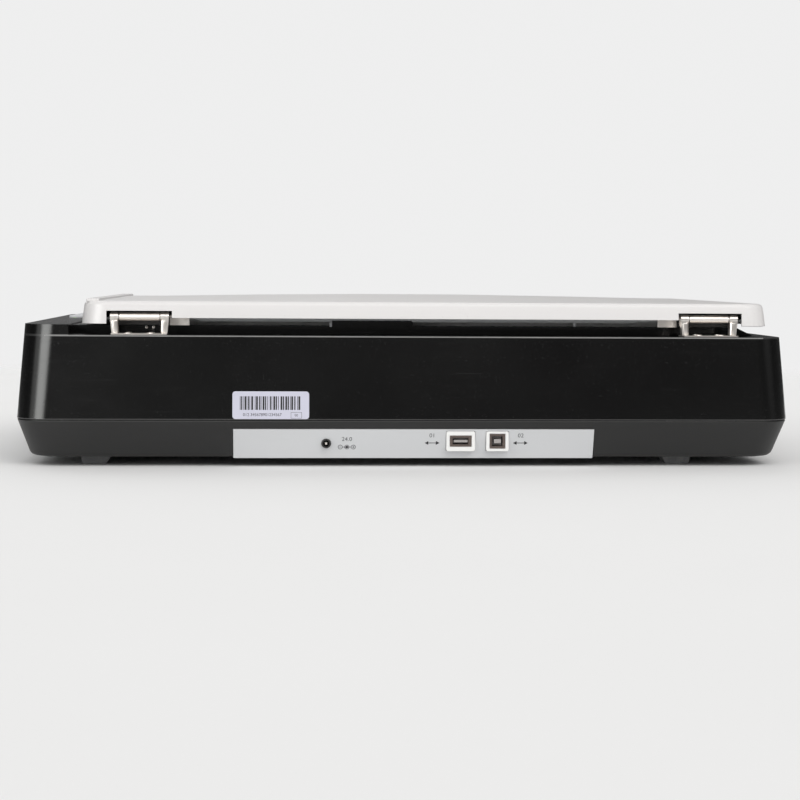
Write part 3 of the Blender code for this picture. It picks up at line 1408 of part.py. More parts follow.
def hinge_leaf(side, x, inboard):
    """The lid's half of a hinge: a barrel, a leaf under the cover and a turned-down ear."""
    half = HINGE_WIDTH / 2
    barrel_half = half - CHEEK_WIDTH - BARREL_SIDE_GAP
    bottom = PANEL_TOP_Z + GAP
    top = bottom + HINGE_PLATE
    ends = along_x(x, barrel_half, HINGE_Y, HINGE_Z)
    leaf = cylinder(f"hinge_leaf_{side}", BARREL_RADIUS, *ends, "nickel")
    plate_rear = HINGE_Y - LEAF_EAR_Y + HINGE_PLATE
    low = (x - barrel_half + GAP, plate_rear - HINGE_PLATE, bottom)
    join(leaf, block(f"leaf_neck_{side}", low, (x + barrel_half - GAP, HINGE_Y, top)))
    ear = x + inboard * (half + LEAF_EAR_WIDTH)
    low_x, high_x = sorted((x - inboard * half, ear))
    low = (low_x, HINGE_Y - LEAF_REACH, bottom)
    join(leaf, block(f"leaf_plate_{side}", low, (high_x, plate_rear, top)))
    low_x, high_x = sorted((x + inboard * half, ear))
    low = (low_x, plate_rear - HINGE_PLATE, bottom - LEAF_EAR_DROP)
    join(leaf, block(f"leaf_ear_{side}", low, (high_x, plate_rear, top - GAP)))
    bore = along_x(x, half, HINGE_Y, HINGE_Z)
    cut(leaf, cylinder(f"leaf_bore_{side}", PIN_RADIUS + GAP, *bore, sides=SMALL_SIDES))
    return leaf


def hinge_base(side, x):
    """The body's half: a plate on the ledge and two cheeks that hold the pin."""
    half = HINGE_WIDTH / 2
    bottom = LEDGE_Z + GAP
    low = (x - half, HINGE_Y - BASE_PLATE_DEPTH / 2, bottom)
    high = (x + half, HINGE_Y + BASE_PLATE_DEPTH / 2, bottom + BASE_PLATE)
    base = block(f"hinge_base_{side}", low, high, "nickel")
    for end, letter in ((1, "a"), (-1, "b")):
        outer = x + end * half
        middle = outer - end * CHEEK_WIDTH / 2
        arm_x = sorted((outer, outer - end * CHEEK_ARM_WIDTH))
        low = (arm_x[0], HINGE_Y - CHEEK_RADIUS + GAP, bottom + BASE_PLATE / 2)
        high = (arm_x[1], HINGE_Y + CHEEK_RADIUS - GAP, HINGE_Z)
        join(base, block(f"cheek_arm_{side}_{letter}", low, high))
        ends = along_x(middle, CHEEK_WIDTH / 2, HINGE_Y, HINGE_Z)
        join(base, cylinder(f"cheek_boss_{side}_{letter}", CHEEK_RADIUS, *ends))
    bore = along_x(x, HINGE_WIDTH, HINGE_Y, HINGE_Z)
    cut(base, cylinder(f"cheek_bore_{side}", PIN_RADIUS + GAP, *bore, sides=SMALL_SIDES))


def lid():
    """Everything that swings with the lid, on one pivot, and the hinges' fixed halves."""
    axis = pivot("lid_axis", (LID_X, HINGE_Y, HINGE_Z))
    pieces = [lid_cover(), lid_panel(), document_pad(), *bumpers()]
    for side, inboard in (("left", -1), ("right", 1)):
        x = HINGES_X[side]
        pieces.append(hinge_leaf(side, x, inboard))
        hinge_base(side, x)
        ends = along_x(x, HINGE_WIDTH / 2, HINGE_Y, HINGE_Z)
        cylinder(f"hinge_pin_{side}", PIN_RADIUS, *ends, "steel", sides=SMALL_SIDES)
    carry(axis, *pieces)


lower_housing()
upper_housing()
glass()
feet()
connector_panel()
ports()
power_socket()
main_board()
key_board()
keys()
motor_and_bracket()
gears()
idler()
tension_spring()
drive_belt()
guide_rod_and_rail()
carriage()
lid()
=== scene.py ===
# %% [markdown]
# # A flatbed scanner, dressed for its picture
#
# The scanner is a flat box for large sheets: a dark tub below a seam, a glossy black shell above
# it, a white crowned lid on two nickel hinges, and a socket panel let into the sloping rear wall.
# Its solids come ready made from CAD, one object for each separate part, in metres, and they stay
# where they are. What this lesson adds is what the CAD leaves out: surfaces with the grain, gloss
# and wear of real ones, screws, printing, and the light and camera of a product photograph.

import json
import math

import bpy
from mathutils import Matrix, Vector


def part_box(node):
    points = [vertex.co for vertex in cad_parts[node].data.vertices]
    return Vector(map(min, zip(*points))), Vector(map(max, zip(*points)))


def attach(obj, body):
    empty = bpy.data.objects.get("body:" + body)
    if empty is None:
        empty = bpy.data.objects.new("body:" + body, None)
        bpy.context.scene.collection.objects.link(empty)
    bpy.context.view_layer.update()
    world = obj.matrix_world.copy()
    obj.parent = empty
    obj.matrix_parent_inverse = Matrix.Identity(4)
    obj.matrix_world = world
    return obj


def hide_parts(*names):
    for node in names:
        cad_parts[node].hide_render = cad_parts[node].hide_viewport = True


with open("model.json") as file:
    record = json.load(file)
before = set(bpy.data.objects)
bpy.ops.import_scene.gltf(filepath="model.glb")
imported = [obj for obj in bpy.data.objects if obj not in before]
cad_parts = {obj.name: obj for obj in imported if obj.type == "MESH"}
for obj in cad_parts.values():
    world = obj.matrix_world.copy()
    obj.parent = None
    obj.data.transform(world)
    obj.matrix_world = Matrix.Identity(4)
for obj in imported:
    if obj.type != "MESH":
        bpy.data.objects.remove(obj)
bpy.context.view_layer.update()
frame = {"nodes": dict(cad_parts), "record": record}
nodes = frame["nodes"]
print("CAD nodes:", len(nodes))

# %% [markdown]
# ## Camera
#
# The picture is taken from behind, a little above the lid and a little to the left of the middle,
# with a long lens, so that the far edges hardly draw together. A camera could be aimed with a
# Track To constraint, but a photograph is rarely level, and this one leans by a third of a degree.
# The three turns are therefore written down: yaw away from straight on, pitch down, and roll.

# %% Camera
CAMERA_PLACE = Vector((0.1031, 1.7, 0.1528))
CAMERA_YAW = math.radians(3.685)
CAMERA_PITCH = math.radians(3.767)
CAMERA_ROLL = math.radians(0.356)
CAMERA_LENS = 85.64

forward = Vector((
    -math.sin(CAMERA_YAW) * math.cos(CAMERA_PITCH),
    -math.cos(CAMERA_YAW) * math.cos(CAMERA_PITCH),
    -math.sin(CAMERA_PITCH),
))
level = forward.cross(Vector((0, 0, 1))).normalized()
upright = level.cross(forward)
right = math.cos(CAMERA_ROLL) * level + math.sin(CAMERA_ROLL) * upright
above = math.cos(CAMERA_ROLL) * upright - math.sin(CAMERA_ROLL) * level
camera_data = bpy.data.cameras.new("camera")
camera_data.lens = CAMERA_LENS
camera = bpy.data.objects.new("camera", camera_data)
turned = Matrix((right, above, -forward)).transposed().to_4x4()
camera.matrix_world = Matrix.Translation(CAMERA_PLACE) @ turned
bpy.context.scene.collection.objects.link(camera)
bpy.context.scene.camera = camera
print("camera", round((CAMERA_PLACE - Vector((0, 0.2, 0.07))).length, 2), "m from the sockets")

# %% [markdown]
# ## Shader maths in plain signs
#
# A finish is a graph of nodes, and most of its nodes do sums: this noise times that, less a bit.
# The graph could be clicked together one Math node at a time. Here a small class wraps a node's
# output and gives it the signs + - * ** < >, each of which adds one Math node, so that a pattern
# reads as a line of arithmetic. Everything that isn't a sum comes from one method, `node`.

# %% A socket with arithmetic
class Value:
    """A node's output, which plain signs turn into Math nodes."""

    def __init__(self, recipe, socket):
        self.recipe = recipe
        self.socket = socket

    def sum(self, operation, first, second):
        settings = {"operation": operation}
        return self.recipe.node("ShaderNodeMath", settings, {0: first, 1: second})[0]

    def __add__(self, other):
        return self.sum("ADD", self, other)

    def __radd__(self, other):
        return self.sum("ADD", other, self)

    def __sub__(self, other):
        return self.sum("SUBTRACT", self, other)

    def __rsub__(self, other):
        return self.sum("SUBTRACT", other, self)

    def __mul__(self, other):
        return self.sum("MULTIPLY", self, other)

    def __rmul__(self, other):
        return self.sum("MULTIPLY", other, self)

    def __pow__(self, other):
        return self.sum("POWER", self, other)

    def __gt__(self, other):
        return self.sum("GREATER_THAN", self, other)

    def __lt__(self, other):
        return self.sum("LESS_THAN", self, other)

    def __abs__(self):
        return self.sum("ABSOLUTE", self, 0.0)

    def repeat(self, length):
        """The remainder after whole lengths, for a pattern that comes again and again."""
        return self.sum("FLOORED_MODULO", self, length)


class Outputs:
    """A node whose outputs are taken by name or number."""

    def __init__(self, recipe, made):
        self.recipe = recipe
        self.made = made

    def __getitem__(self, key):
        return Value(self.recipe, self.made.outputs[key])


# %% A recipe, and the one method that adds its nodes
class Recipe:
    """The node tree of a material or of the world."""

    def __init__(self, tree):
        self.tree = tree

    def node(self, kind, settings, inputs):
        made = self.tree.nodes.new(kind)
        for name, value in settings.items():
            setattr(made, name, value)
        for name, value in inputs.items():
            self.feed(made.inputs[name], value)
        return Outputs(self, made)

    def feed(self, socket, value):
        if isinstance(value, Value):
            self.tree.links.new(value.socket, socket)
        else:
            socket.default_value = value


# %% A finish
class Finish(Recipe):
    """A material. Colours are linear, and the rest are the shader's own sockets."""

    def __init__(self, name, **constants):
        self.material = bpy.data.materials.new(name)
        self.material.use_nodes = True
        super().__init__(self.material.node_tree)
        self.shader = self.tree.nodes["Principled BSDF"]
        for socket, value in constants.items():
            self.shader.inputs[socket.replace("_", " ")].default_value = value
        self.place = self.node("ShaderNodeTexCoord", {}, {})["Object"]

    def set(self, socket, value):
        """Lets a value that varies over the surface drive one of the shader's sockets."""
        self.feed(self.shader.inputs[socket], value)

    def noise(self, scale, detail=2.0, roughness=0.5, stretch=None):
        """Soft random mottling from 0 to 1, with a scale in spots to a metre."""
        place = self.place
        if stretch:
            place = self.node("ShaderNodeMapping", {}, {"Vector": place, "Scale": stretch})[0]
        inputs = {"Vector": place, "Scale": scale, "Detail": detail, "Roughness": roughness}
        return self.node("ShaderNodeTexNoise", {}, inputs)[0]

    def mix(self, factor, first, second):
        inputs = {0: factor, 6: first, 7: second}
        return self.node("ShaderNodeMix", {"data_type": "RGBA"}, inputs)[2]

    def step(self, value, low, high):
        """0 below low, 1 above high, and a smooth rise between."""
        settings = {"interpolation_type": "SMOOTHSTEP"}
        return self.node("ShaderNodeMapRange", settings, {0: value, 1: low, 2: high})[0]

    def axes(self):
        """The place along X, Y and Z, in metres."""
        parts = self.node("ShaderNodeSeparateXYZ", {}, {0: self.place})
        return parts[0], parts[1], parts[2]

    def bump(self, height, depth):
        """Raises and sinks the surface by up to a depth in metres, as seen by the light."""
        inputs = {"Height": height, "Distance": depth, "Strength": 1.0}
        self.set("Normal", self.node("ShaderNodeBump", {}, inputs)[0])


print("shader tools ready")

# %% [markdown]
# ## Moulded plastics
#
# The shell is the same sort of plastic as a piano-black radio: nearly black, with a soft gloss
# that a mould gives, fine hair scratches from wiping and a little dust that only shows at a
# glancing angle. One dark flat colour would look like painted card, so the gloss itself varies:
# broad smears make it a little rougher here and there, and long thin noise makes the wipe marks.
# The ledge behind the lid, most of all its rim, and the lip of the seam are painted paler and
# rougher: a painted highlight where those edges would catch the light.

# %% Glossy black shell
LEDGE_Z, LEDGE_FRONT, LEDGE_REAR = 0.1038, 0.150, 0.194
RIM_Z, RIM_FRONT = 0.1037, 0.1935
LIP_Z = 0.0382


def shell_black():
    finish = Finish("shell_black", Specular_IOR_Level=0.42)
    smears = finish.noise(9.0, 3.0, 0.6)
    wipes = finish.step(finish.noise(55.0, 3.0, 0.6, stretch=(0.25, 1.0, 6.0)), 0.62, 0.75)
    dust = finish.step(finish.noise(900.0, 1.0), 0.70, 0.76)
    x, y, z = finish.axes()
    # Painted highlight: the ledge, its rim and the seam's lip are mixed toward a pale grey below.
    ledge = (abs(z - LEDGE_Z) < 0.0009) * finish.step(y, LEDGE_FRONT, LEDGE_REAR) ** 2
    rim = (abs(z - RIM_Z) < 0.0006) * (y > RIM_FRONT)
    lip = abs(z - LIP_Z) < 0.0004
    patchy = 0.7 + 0.6 * finish.noise(70.0, 4.0, 0.7)
    painted_highlight = (0.08 * ledge + 0.50 * rim + 0.16 * lip) * patchy
    roughness = 0.17 + 0.10 * smears + 0.05 * wipes + 0.10 * dust
    finish.set("Roughness", roughness + 0.5 * painted_highlight)
    shade = finish.mix(smears, (0.0011, 0.0011, 0.0012, 1), (0.0018, 0.0018, 0.0018, 1))
    shade = finish.mix(0.15 * dust, shade, (0.03, 0.03, 0.03, 1))
    finish.set("Base Color", finish.mix(painted_highlight, shade, (0.34, 0.34, 0.335, 1)))
    finish.bump(finish.noise(420.0, 2.0) + 0.5 * finish.noise(2600.0, 1.0), 0.000012)
    return finish.material


# %% Textured plastics
def grained(name, dark, light, roughness, depth=0.00004):
    """A satin moulding with a spark-eroded grain: tiny round pits and faint flow marks."""
    finish = Finish(name, Specular_IOR_Level=0.5)
    flow = finish.noise(6.0, 2.0, 0.5, stretch=(1.0, 1.0, 3.0))
    inputs = {"Vector": finish.place, "Scale": 1900.0}
    pits = finish.node("ShaderNodeTexVoronoi", {"feature": "SMOOTH_F1"}, inputs)[0]
    rubbed = finish.step(finish.noise(38.0, 3.0, 0.6), 0.60, 0.72)
    finish.set("Base Color", finish.mix(flow + 0.12 * pits, dark, light))
    finish.set("Roughness", roughness + 0.08 * flow + 0.08 * pits - 0.06 * rubbed)
    finish.bump(pits + 0.3 * finish.noise(4200.0, 2.0), depth)
    return finish.material


# %% [markdown]
# The white lid is the same gloss as the shell in a pale colour. Pale plastic lets light in a
# little way and yellows slightly where it is handled, so its colour drifts by a trace.

# %% White cover
def cover_white():
    finish = Finish("cover_white", Specular_IOR_Level=0.45)
    drift = finish.noise(5.0, 3.0, 0.55)
    specks = finish.step(finish.noise(700.0, 1.0), 0.73, 0.77)
    colour = finish.mix(drift, (0.69, 0.675, 0.672, 1), (0.725, 0.713, 0.710, 1))
    finish.set("Base Color", finish.mix(0.25 * specks, colour, (0.42, 0.41, 0.39, 1)))
    finish.set("Roughness", 0.30 + 0.10 * drift + 0.10 * specks)
    finish.bump(finish.noise(300.0, 2.0) + 0.4 * finish.noise(2400.0, 1.0), 0.000014)
    return finish.material


# %% [markdown]
# ## Metals
#
# Satin nickel, bright steel and turned brass share one recipe: a metal colour, and a grain that is
# noise drawn out along the direction of the brush. Stretching the noise's space with a Mapping
# node is enough, because a fine scratch is only a very long spot.

# %% Brushed metals
def brushed(name, dark, light, roughness):
    finish = Finish(name, Metallic=1.0)
    grain = finish.noise(5200.0, 2.0, 0.6, stretch=(0.06, 1.0, 1.0))
    cloud = finish.noise(60.0, 3.0, 0.6)
    marks = finish.step(finish.noise(520.0, 2.0, 0.6), 0.66, 0.74)
    colour = finish.mix(0.6 * grain + 0.4 * cloud, dark, light)
    finish.set("Base Color", finish.mix(0.25 * marks, colour, dark))
    finish.set("Roughness", roughness + 0.12 * grain + 0.06 * cloud + 0.10 * marks)
    finish.bump(grain, 0.000006)
    return finish.material


# %% Mirror strips
def front_mirror():
    finish = Finish("mirror", Metallic=1.0)
    haze = finish.step(finish.noise(80.0, 3.0, 0.6), 0.55, 0.80)
    finish.set("Base Color", finish.mix(haze, (0.90, 0.91, 0.92, 1), (0.82, 0.83, 0.85, 1)))
    finish.set("Roughness", 0.02 + 0.05 * haze)
    return finish.material


# %% [markdown]
# ## Glass, rubber, mat and board
#
# The platen is a clear sheet. It passes light because its transmission is on, and a trace of dust
# makes it show as a surface at all. Rubber is grey, rough, and paler where it is rubbed.
# A circuit board is green lacquer over copper: the tracks show as slightly lighter lines at right
# angles, which two square waves of the place make well enough at this size.

# %% Platen glass
def platen_glass():
    finish = Finish("platen_glass", IOR=1.5, Transmission_Weight=1.0)
    dust = finish.step(finish.noise(800.0, 1.0), 0.72, 0.78)
    wiped = finish.noise(14.0, 3.0, 0.6, stretch=(1.0, 4.0, 1.0))
    finish.set("Base Color", finish.mix(0.2 * dust, (0.93, 0.97, 0.95, 1), (0.80, 0.80, 0.80, 1)))
    finish.set("Roughness", 0.01 + 0.03 * wiped + 0.10 * dust)
    return finish.material


# %% Rubber
def rubber():
    finish = Finish("rubber", Specular_IOR_Level=0.35)
    scuff = finish.step(finish.noise(160.0, 3.0, 0.65), 0.52, 0.72)
    finish.set("Base Color", finish.mix(scuff, (0.22, 0.22, 0.226, 1), (0.29, 0.287, 0.284, 1)))
    finish.set("Roughness", 0.72 + 0.16 * scuff)
    finish.bump(finish.noise(1500.0, 3.0, 0.6), 0.00005)
    return finish.material


# %% Circuit board
TRACK_PITCH_X, TRACK_PITCH_Y = 0.0022, 0.0019


def circuit_board():
    finish = Finish("circuit_board", Specular_IOR_Level=0.5)
    x, y, z = finish.axes()
    patch = finish.noise(45.0, 0.0) > 0.5
    across = abs(x.repeat(TRACK_PITCH_X) - TRACK_PITCH_X / 2) < 0.00032
    along = abs(y.repeat(TRACK_PITCH_Y) - TRACK_PITCH_Y / 2) < 0.00028
    tracks = patch * across + (1 - patch) * along
    inputs = {"Vector": finish.place, "Scale": 210.0}
    spots = finish.node("ShaderNodeTexVoronoi", {}, inputs)[0] < 0.13
    lacquer = finish.mix(0.75 * tracks, (0.008, 0.085, 0.035, 1), (0.018, 0.165, 0.060, 1))
    finish.set("Base Color", finish.mix(spots, lacquer, (0.62, 0.58, 0.50, 1)))
    finish.set("Metallic", 0.9 * spots)
    finish.set("Roughness", 0.34 + 0.10 * finish.noise(300.0, 2.0) - 0.06 * tracks)
    finish.bump(tracks + spots, 0.00004)
    return finish.material


# %% Tinted lens
def lamp_lens():
    finish = Finish("lens", Specular_IOR_Level=0.6, Transmission_Weight=0.35)
    cloud = finish.noise(900.0, 2.0)
    finish.set("Base Color", finish.mix(cloud, (0.30, 0.52, 0.24, 1), (0.42, 0.64, 0.33, 1)))
    finish.set("Roughness", 0.18 + 0.12 * cloud)
    finish.bump(cloud, 0.00002)
    return finish.material


# %% Document mat
THREAD_PITCH = 0.0008


def document_mat():
    """A white sheet over foam: a fine woven tooth and slight dimples where the foam gives."""
    finish = Finish(
        "document_mat", Sheen_Weight=0.15, Sheen_Roughness=0.5, Specular_IOR_Level=0.25
    )
    x, y, z = finish.axes()
    half = THREAD_PITCH / 2
    warp = abs(x.repeat(THREAD_PITCH) - half) * (1 / half)
    weft = abs(y.repeat(THREAD_PITCH) - half) * (1 / half)
    threads = warp + weft
    dimples = finish.noise(30.0, 3.0, 0.6)
    colour = finish.mix(dimples, (0.80, 0.80, 0.785, 1), (0.875, 0.87, 0.86, 1))
    finish.set("Base Color", colour)
    finish.set("Roughness", 0.82 + 0.08 * dimples)
    finish.bump(0.15 * threads + 0.6 * dimples + 0.2 * finish.noise(1700.0, 2.0), 0.00008)
    return finish.material


# %% [markdown]
# ## Giving each node its finish
#
# The record says which slot each CAD node belongs to, so one table from slot to finish dresses
# them all. Assigning to the object's own material slots leaves the CAD mesh untouched.

# %% The table of finishes
FINISHES = {
    "tub_grey": grained("tub_grey", (0.008, 0.008, 0.008, 1), (0.015, 0.015, 0.015, 1), 0.40),
    "shell_black": shell_black(),
    "socket_plate": grained(
        "socket_plate", (0.57, 0.577, 0.592, 1), (0.64, 0.651, 0.664, 1), 0.42, depth=0.00003
    ),
    "black_plastic": grained(
        "black_plastic", (0.012, 0.012, 0.012, 1), (0.02, 0.02, 0.02, 1), 0.42
    ),
    "white_plastic": grained(
        "white_plastic", (0.78, 0.78, 0.765, 1), (0.84, 0.84, 0.83, 1), 0.36, depth=0.00002
    ),
    "natural_plastic": grained(
        "natural_plastic", (0.66, 0.62, 0.52, 1), (0.76, 0.72, 0.62, 1), 0.44, depth=0.00002
    ),
    "platen_glass": platen_glass(),
    "circuit_board": circuit_board(),
    "lens": lamp_lens(),
    "rubber": rubber(),
    "nickel": brushed("nickel", (0.88, 0.82, 0.77, 1), (1.0, 0.95, 0.90, 1), 0.27),
    "steel": brushed("steel", (0.50, 0.50, 0.50, 1), (0.68, 0.68, 0.67, 1), 0.24),
    "brass": brushed("brass", (0.62, 0.44, 0.17, 1), (0.80, 0.62, 0.30, 1), 0.22),
    "mirror": front_mirror(),
    "cover_white": cover_white(),
    "panel_grey": grained("panel_grey", (0.60, 0.61, 0.63, 1), (0.68, 0.69, 0.705, 1), 0.46),
    "document_mat": document_mat(),
    "key_grey": grained("key_grey", (0.52, 0.53, 0.55, 1), (0.60, 0.61, 0.63, 1), 0.40),
}

SLOT_OF = {entry["node"]: entry["material_slot"] for entry in frame["record"]["subparts"]}
for node, slot in SLOT_OF.items():
    materials = nodes[node].data.materials
    if not materials:
        materials.append(None)
    for index in range(len(materials)):
        materials[index] = FINISHES[slot]
print("finishes:", len(FINISHES))

# %% [markdown]
# Three more finishes are for single pieces: the cast part of a hinge, and the metal mouth and the
# tongue deep in a data socket, these two coloured dark as painted shade.

# %% Finishes for single pieces
CAST_NICKEL = brushed("cast_nickel", (0.66, 0.62, 0.585, 1), (0.80, 0.765, 0.73, 1), 0.22)
# Painted shade: the socket's mouth and tongue are coloured dark for the shadow they sit in.
STEEL_IN_PAINTED_SHADE = brushed("steel_in_painted_shade", (0.10, 0.080, 0.072, 1), (0.20, 0.165, 0.15, 1), 0.34)
TONGUE_IN_PAINTED_SHADE = grained("tongue", (0.30, 0.28, 0.27, 1), (0.36, 0.34, 0.33, 1), 0.40)
print("finishes for single pieces: 3")

# %% [markdown]
# ## Working by hand
#
# The pieces that follow are modelled as at the desk: add a primitive, go into edit mode, pick
# faces, inset, extrude, bevel. A script has no mouse, so faces are picked by where they are or
# which way they point. Before each start everything is deselected, because the CAD nodes come in
# selected.

# %% Hand tools
SMOOTH_ANGLE = 35


def start():
    """Leaves edit mode and selects nothing."""
    if bpy.context.object and bpy.context.object.mode != "OBJECT":
        bpy.ops.object.mode_set(mode="OBJECT")
    bpy.ops.object.select_all(action="DESELECT")


def select(*things):
    start()
    for thing in things:
        thing.select_set(True)
    bpy.context.view_layer.objects.active = things[0]


def edit_all():
    """Opens the active piece in edit mode with all of it selected."""
    bpy.ops.object.mode_set(mode="EDIT")
    bpy.ops.mesh.select_all(action="SELECT")


def leave_edit():
    bpy.ops.object.mode_set(mode="OBJECT")


def pick_faces(piece, wanted):
    """Opens a piece in edit mode with the faces selected that a test wants."""
    select(piece)
    bpy.ops.object.mode_set(mode="EDIT")
    bpy.ops.mesh.select_mode(type="FACE")
    bpy.ops.mesh.select_all(action="DESELECT")
    leave_edit()
    for face in piece.data.polygons:
        face.select = wanted(face.center, face.normal)
    bpy.ops.object.mode_set(mode="EDIT")


def faces_up(centre, normal):
    return normal.z > 0.9


def faces_down(centre, normal):
    return normal.z < -0.9


def extrude(height):
    """Draws the selected faces out along Z, or sinks them where the height is negative."""
    bpy.ops.mesh.extrude_region_move(TRANSFORM_OT_translate={"value": (0, 0, height)})


def apply_modifiers(piece):
    select(piece)
    for modifier in list(piece.modifiers):
        bpy.ops.object.modifier_apply(modifier=modifier.name)


def settle(piece):
    """Puts a piece's place into its mesh, so that its object sits at the origin."""
    select(piece)
    bpy.ops.object.transform_apply(location=True, rotation=True, scale=True)
    return piece


def smooth(piece, degrees=SMOOTH_ANGLE):
    select(piece)
    bpy.ops.object.shade_smooth_by_angle(angle=math.radians(degrees))


def weigh_normals(piece):
    """Lets large faces decide the shading, so that a wall looks flat up to its rounded edge."""
    weigh = piece.modifiers.new("weigh", "WEIGHTED_NORMAL")
    weigh.weight = 100
    weigh.keep_sharp = True
    apply_modifiers(piece)


def bevel(piece, width, segments=2, degrees=40, clamped=True):
    modifier = piece.modifiers.new("edge", "BEVEL")
    modifier.width = width
    modifier.segments = segments
    modifier.limit_method = "ANGLE"
    modifier.angle_limit = math.radians(degrees)
    modifier.use_clamp_overlap = clamped
    apply_modifiers(piece)


def cut_out(piece, cutter):
    """Takes a cutter's form out of a piece, and then throws the cutter away."""
    cut = piece.modifiers.new("cut", "BOOLEAN")
    cut.operation = "DIFFERENCE"
    cut.object = cutter
    apply_modifiers(piece)
    bpy.data.objects.remove(cutter, do_unlink=True)


def joined(pieces):
    select(*pieces)
    bpy.ops.object.join()
    edit_all()
    bpy.ops.mesh.normals_make_consistent(inside=False)
    leave_edit()
    return bpy.context.object


def finished(piece, name, body, slot, finish=None):
    """Names a piece, gives it its finish, and lets it ride on its body."""
    piece.name = name
    piece.data.name = name
    piece.data.materials.clear()
    piece.data.materials.append(finish or FINISHES[slot])
    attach(piece, body)
    return piece


# %% Stock to start from
def corners(node):
    """A CAD node's lowest and highest corners."""
    return [Vector(corner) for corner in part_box(node)]


def block(size, place, turn=0.0):
    """A cube drawn out to a size at a place, and turned about Z."""
    start()
    bpy.ops.mesh.primitive_cube_add(size=1.0, location=place, rotation=(0, 0, turn))
    piece = bpy.context.object
    piece.scale = size
    return settle(piece)


def flat(width, height):
    """A plane at the origin."""
    start()
    bpy.ops.mesh.primitive_plane_add(size=1.0)
    piece = bpy.context.object
    piece.scale = (width, height, 1.0)
    return settle(piece)


def card(width, height, corner, thickness):
    """A thin slab with rounded corners: a plane, its corners bevelled, extruded."""
    piece = flat(width, height)
    edit_all()
    bpy.ops.mesh.bevel(offset=corner, segments=6, affect="VERTICES")
    extrude(thickness)
    bpy.ops.mesh.select_all(action="SELECT")
    bpy.ops.mesh.normals_make_consistent(inside=False)
    leave_edit()
    return piece


print("hand tools ready")

# %% [markdown]
# ## Rounding what CAD leaves in facets
#
# The CAD meshes are loose triangles, so light breaks at each of them and a rounded corner looks
# like a fan of strips. The real mouldings are smooth, with a small radius on each edge that
# catches a thin line of light. A copy of each is merged into one skin, its flat triangles are
# dissolved into whole faces, its sharp edges get a bevel, and then it is shaded smooth. On the
# housings the bevel's clamp is off, because it would shrink every edge to suit the shortest.

# %% Skins over the CAD shells
MERGE_DISTANCE = 0.00002
FLAT_WITHIN = math.radians(0.6)
SHARP_ANGLE = 50
UNCLAMPED = ("upper_housing", "lower_housing")
BODIES = frame["record"]["behaviour"]["bodies"]
BODY_OF = {node: body for body, names in BODIES.items() for node in names}


def skin(node, radius):
    """A smooth copy of a CAD node, its sharp edges rounded where the radius isn't 0."""
    piece = bpy.data.objects.new(f"{node}_skin", nodes[node].data.copy())
    bpy.context.scene.collection.objects.link(piece)
    select(piece)
    edit_all()
    bpy.ops.mesh.remove_doubles(threshold=MERGE_DISTANCE)
    bpy.ops.mesh.dissolve_limited(angle_limit=FLAT_WITHIN)
    leave_edit()
    if radius:
        bevel(piece, radius, degrees=SHARP_ANGLE, clamped=node not in UNCLAMPED)
    smooth(piece)
    weigh_normals(piece)
    finished(piece, f"{node}_skin", BODY_OF[node], SLOT_OF[node])
    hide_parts(node)
    return piece


EDGE_RADIUS = {
    "lid_cover": 0.0005, "lower_housing": 0.0006, "upper_housing": 0.0007,
    "lid_inner_panel": 0.0003, "connector_panel": 0.0004,
    "usb_host_bezel": 0.0003, "usb_device_bezel": 0.0003,
    "usb_host_shell": 0.00012, "usb_device_shell": 0.00012,
    "usb_host_insert": 0.00015, "usb_device_insert": 0.00015,
    "hinge_base_left": 0.00025, "hinge_base_right": 0.00025,
    "hinge_leaf_left": 0.00025, "hinge_leaf_right": 0.00025,
    "carriage_housing": 0.0004, "carriage_cover": 0.0003, "belt_clip": 0.0003,
    "slide_shoe": 0.0003, "motor_bracket": 0.0003, "idler_bracket": 0.0003,
    "support_rail": 0.0003, "power_socket": 0.0, "power_socket_pin": 0.00025,
    "hinge_pin_left": 0.0003, "hinge_pin_right": 0.0003, "guide_rod": 0.0004,
    "drive_motor": 0.0006, "rod_bush_a": 0.0003, "rod_bush_b": 0.0003,
    "lens_barrel": 0.0004, "bumper_left": 0.0006, "bumper_right": 0.0006,
    "idler_axle": 0.0002, "gear_axle": 0.0002, "reduction_gear": 0.0,
    "idler_pulley": 0.0, "motor_pinion": 0.0, "drive_belt": 0.0,
    "belt_tension_spring": 0.0, "scan_lamp": 0.0,
    "foot_front_left": 0.0, "foot_front_right": 0.0,
    "foot_rear_left": 0.0, "foot_rear_right": 0.0,
    "key_1": 0.0, "key_2": 0.0, "key_3": 0.0, "key_4": 0.0, "key_5": 0.0,
    "status_lens": 0.0003, "platen_glass": 0.0003,
}
skins = {node: skin(node, radius) for node, radius in EDGE_RADIUS.items()}
print("skins:", len(skins), "faces:", sum(len(piece.data.polygons) for piece in skins.values()))

# %% [markdown]
# ## What a casting adds
#
# The hinge's cheeks are cast, so their legs are as thick as the heads round the pin, narrow a
# little to the foot and are rounded like a worn pebble. Each leg is a cube whose lower face is
# drawn in and shifted inward, with a wide bevel, and the base plate narrows to suit. The casting
# is a duller nickel than the turned barrel between its cheeks.

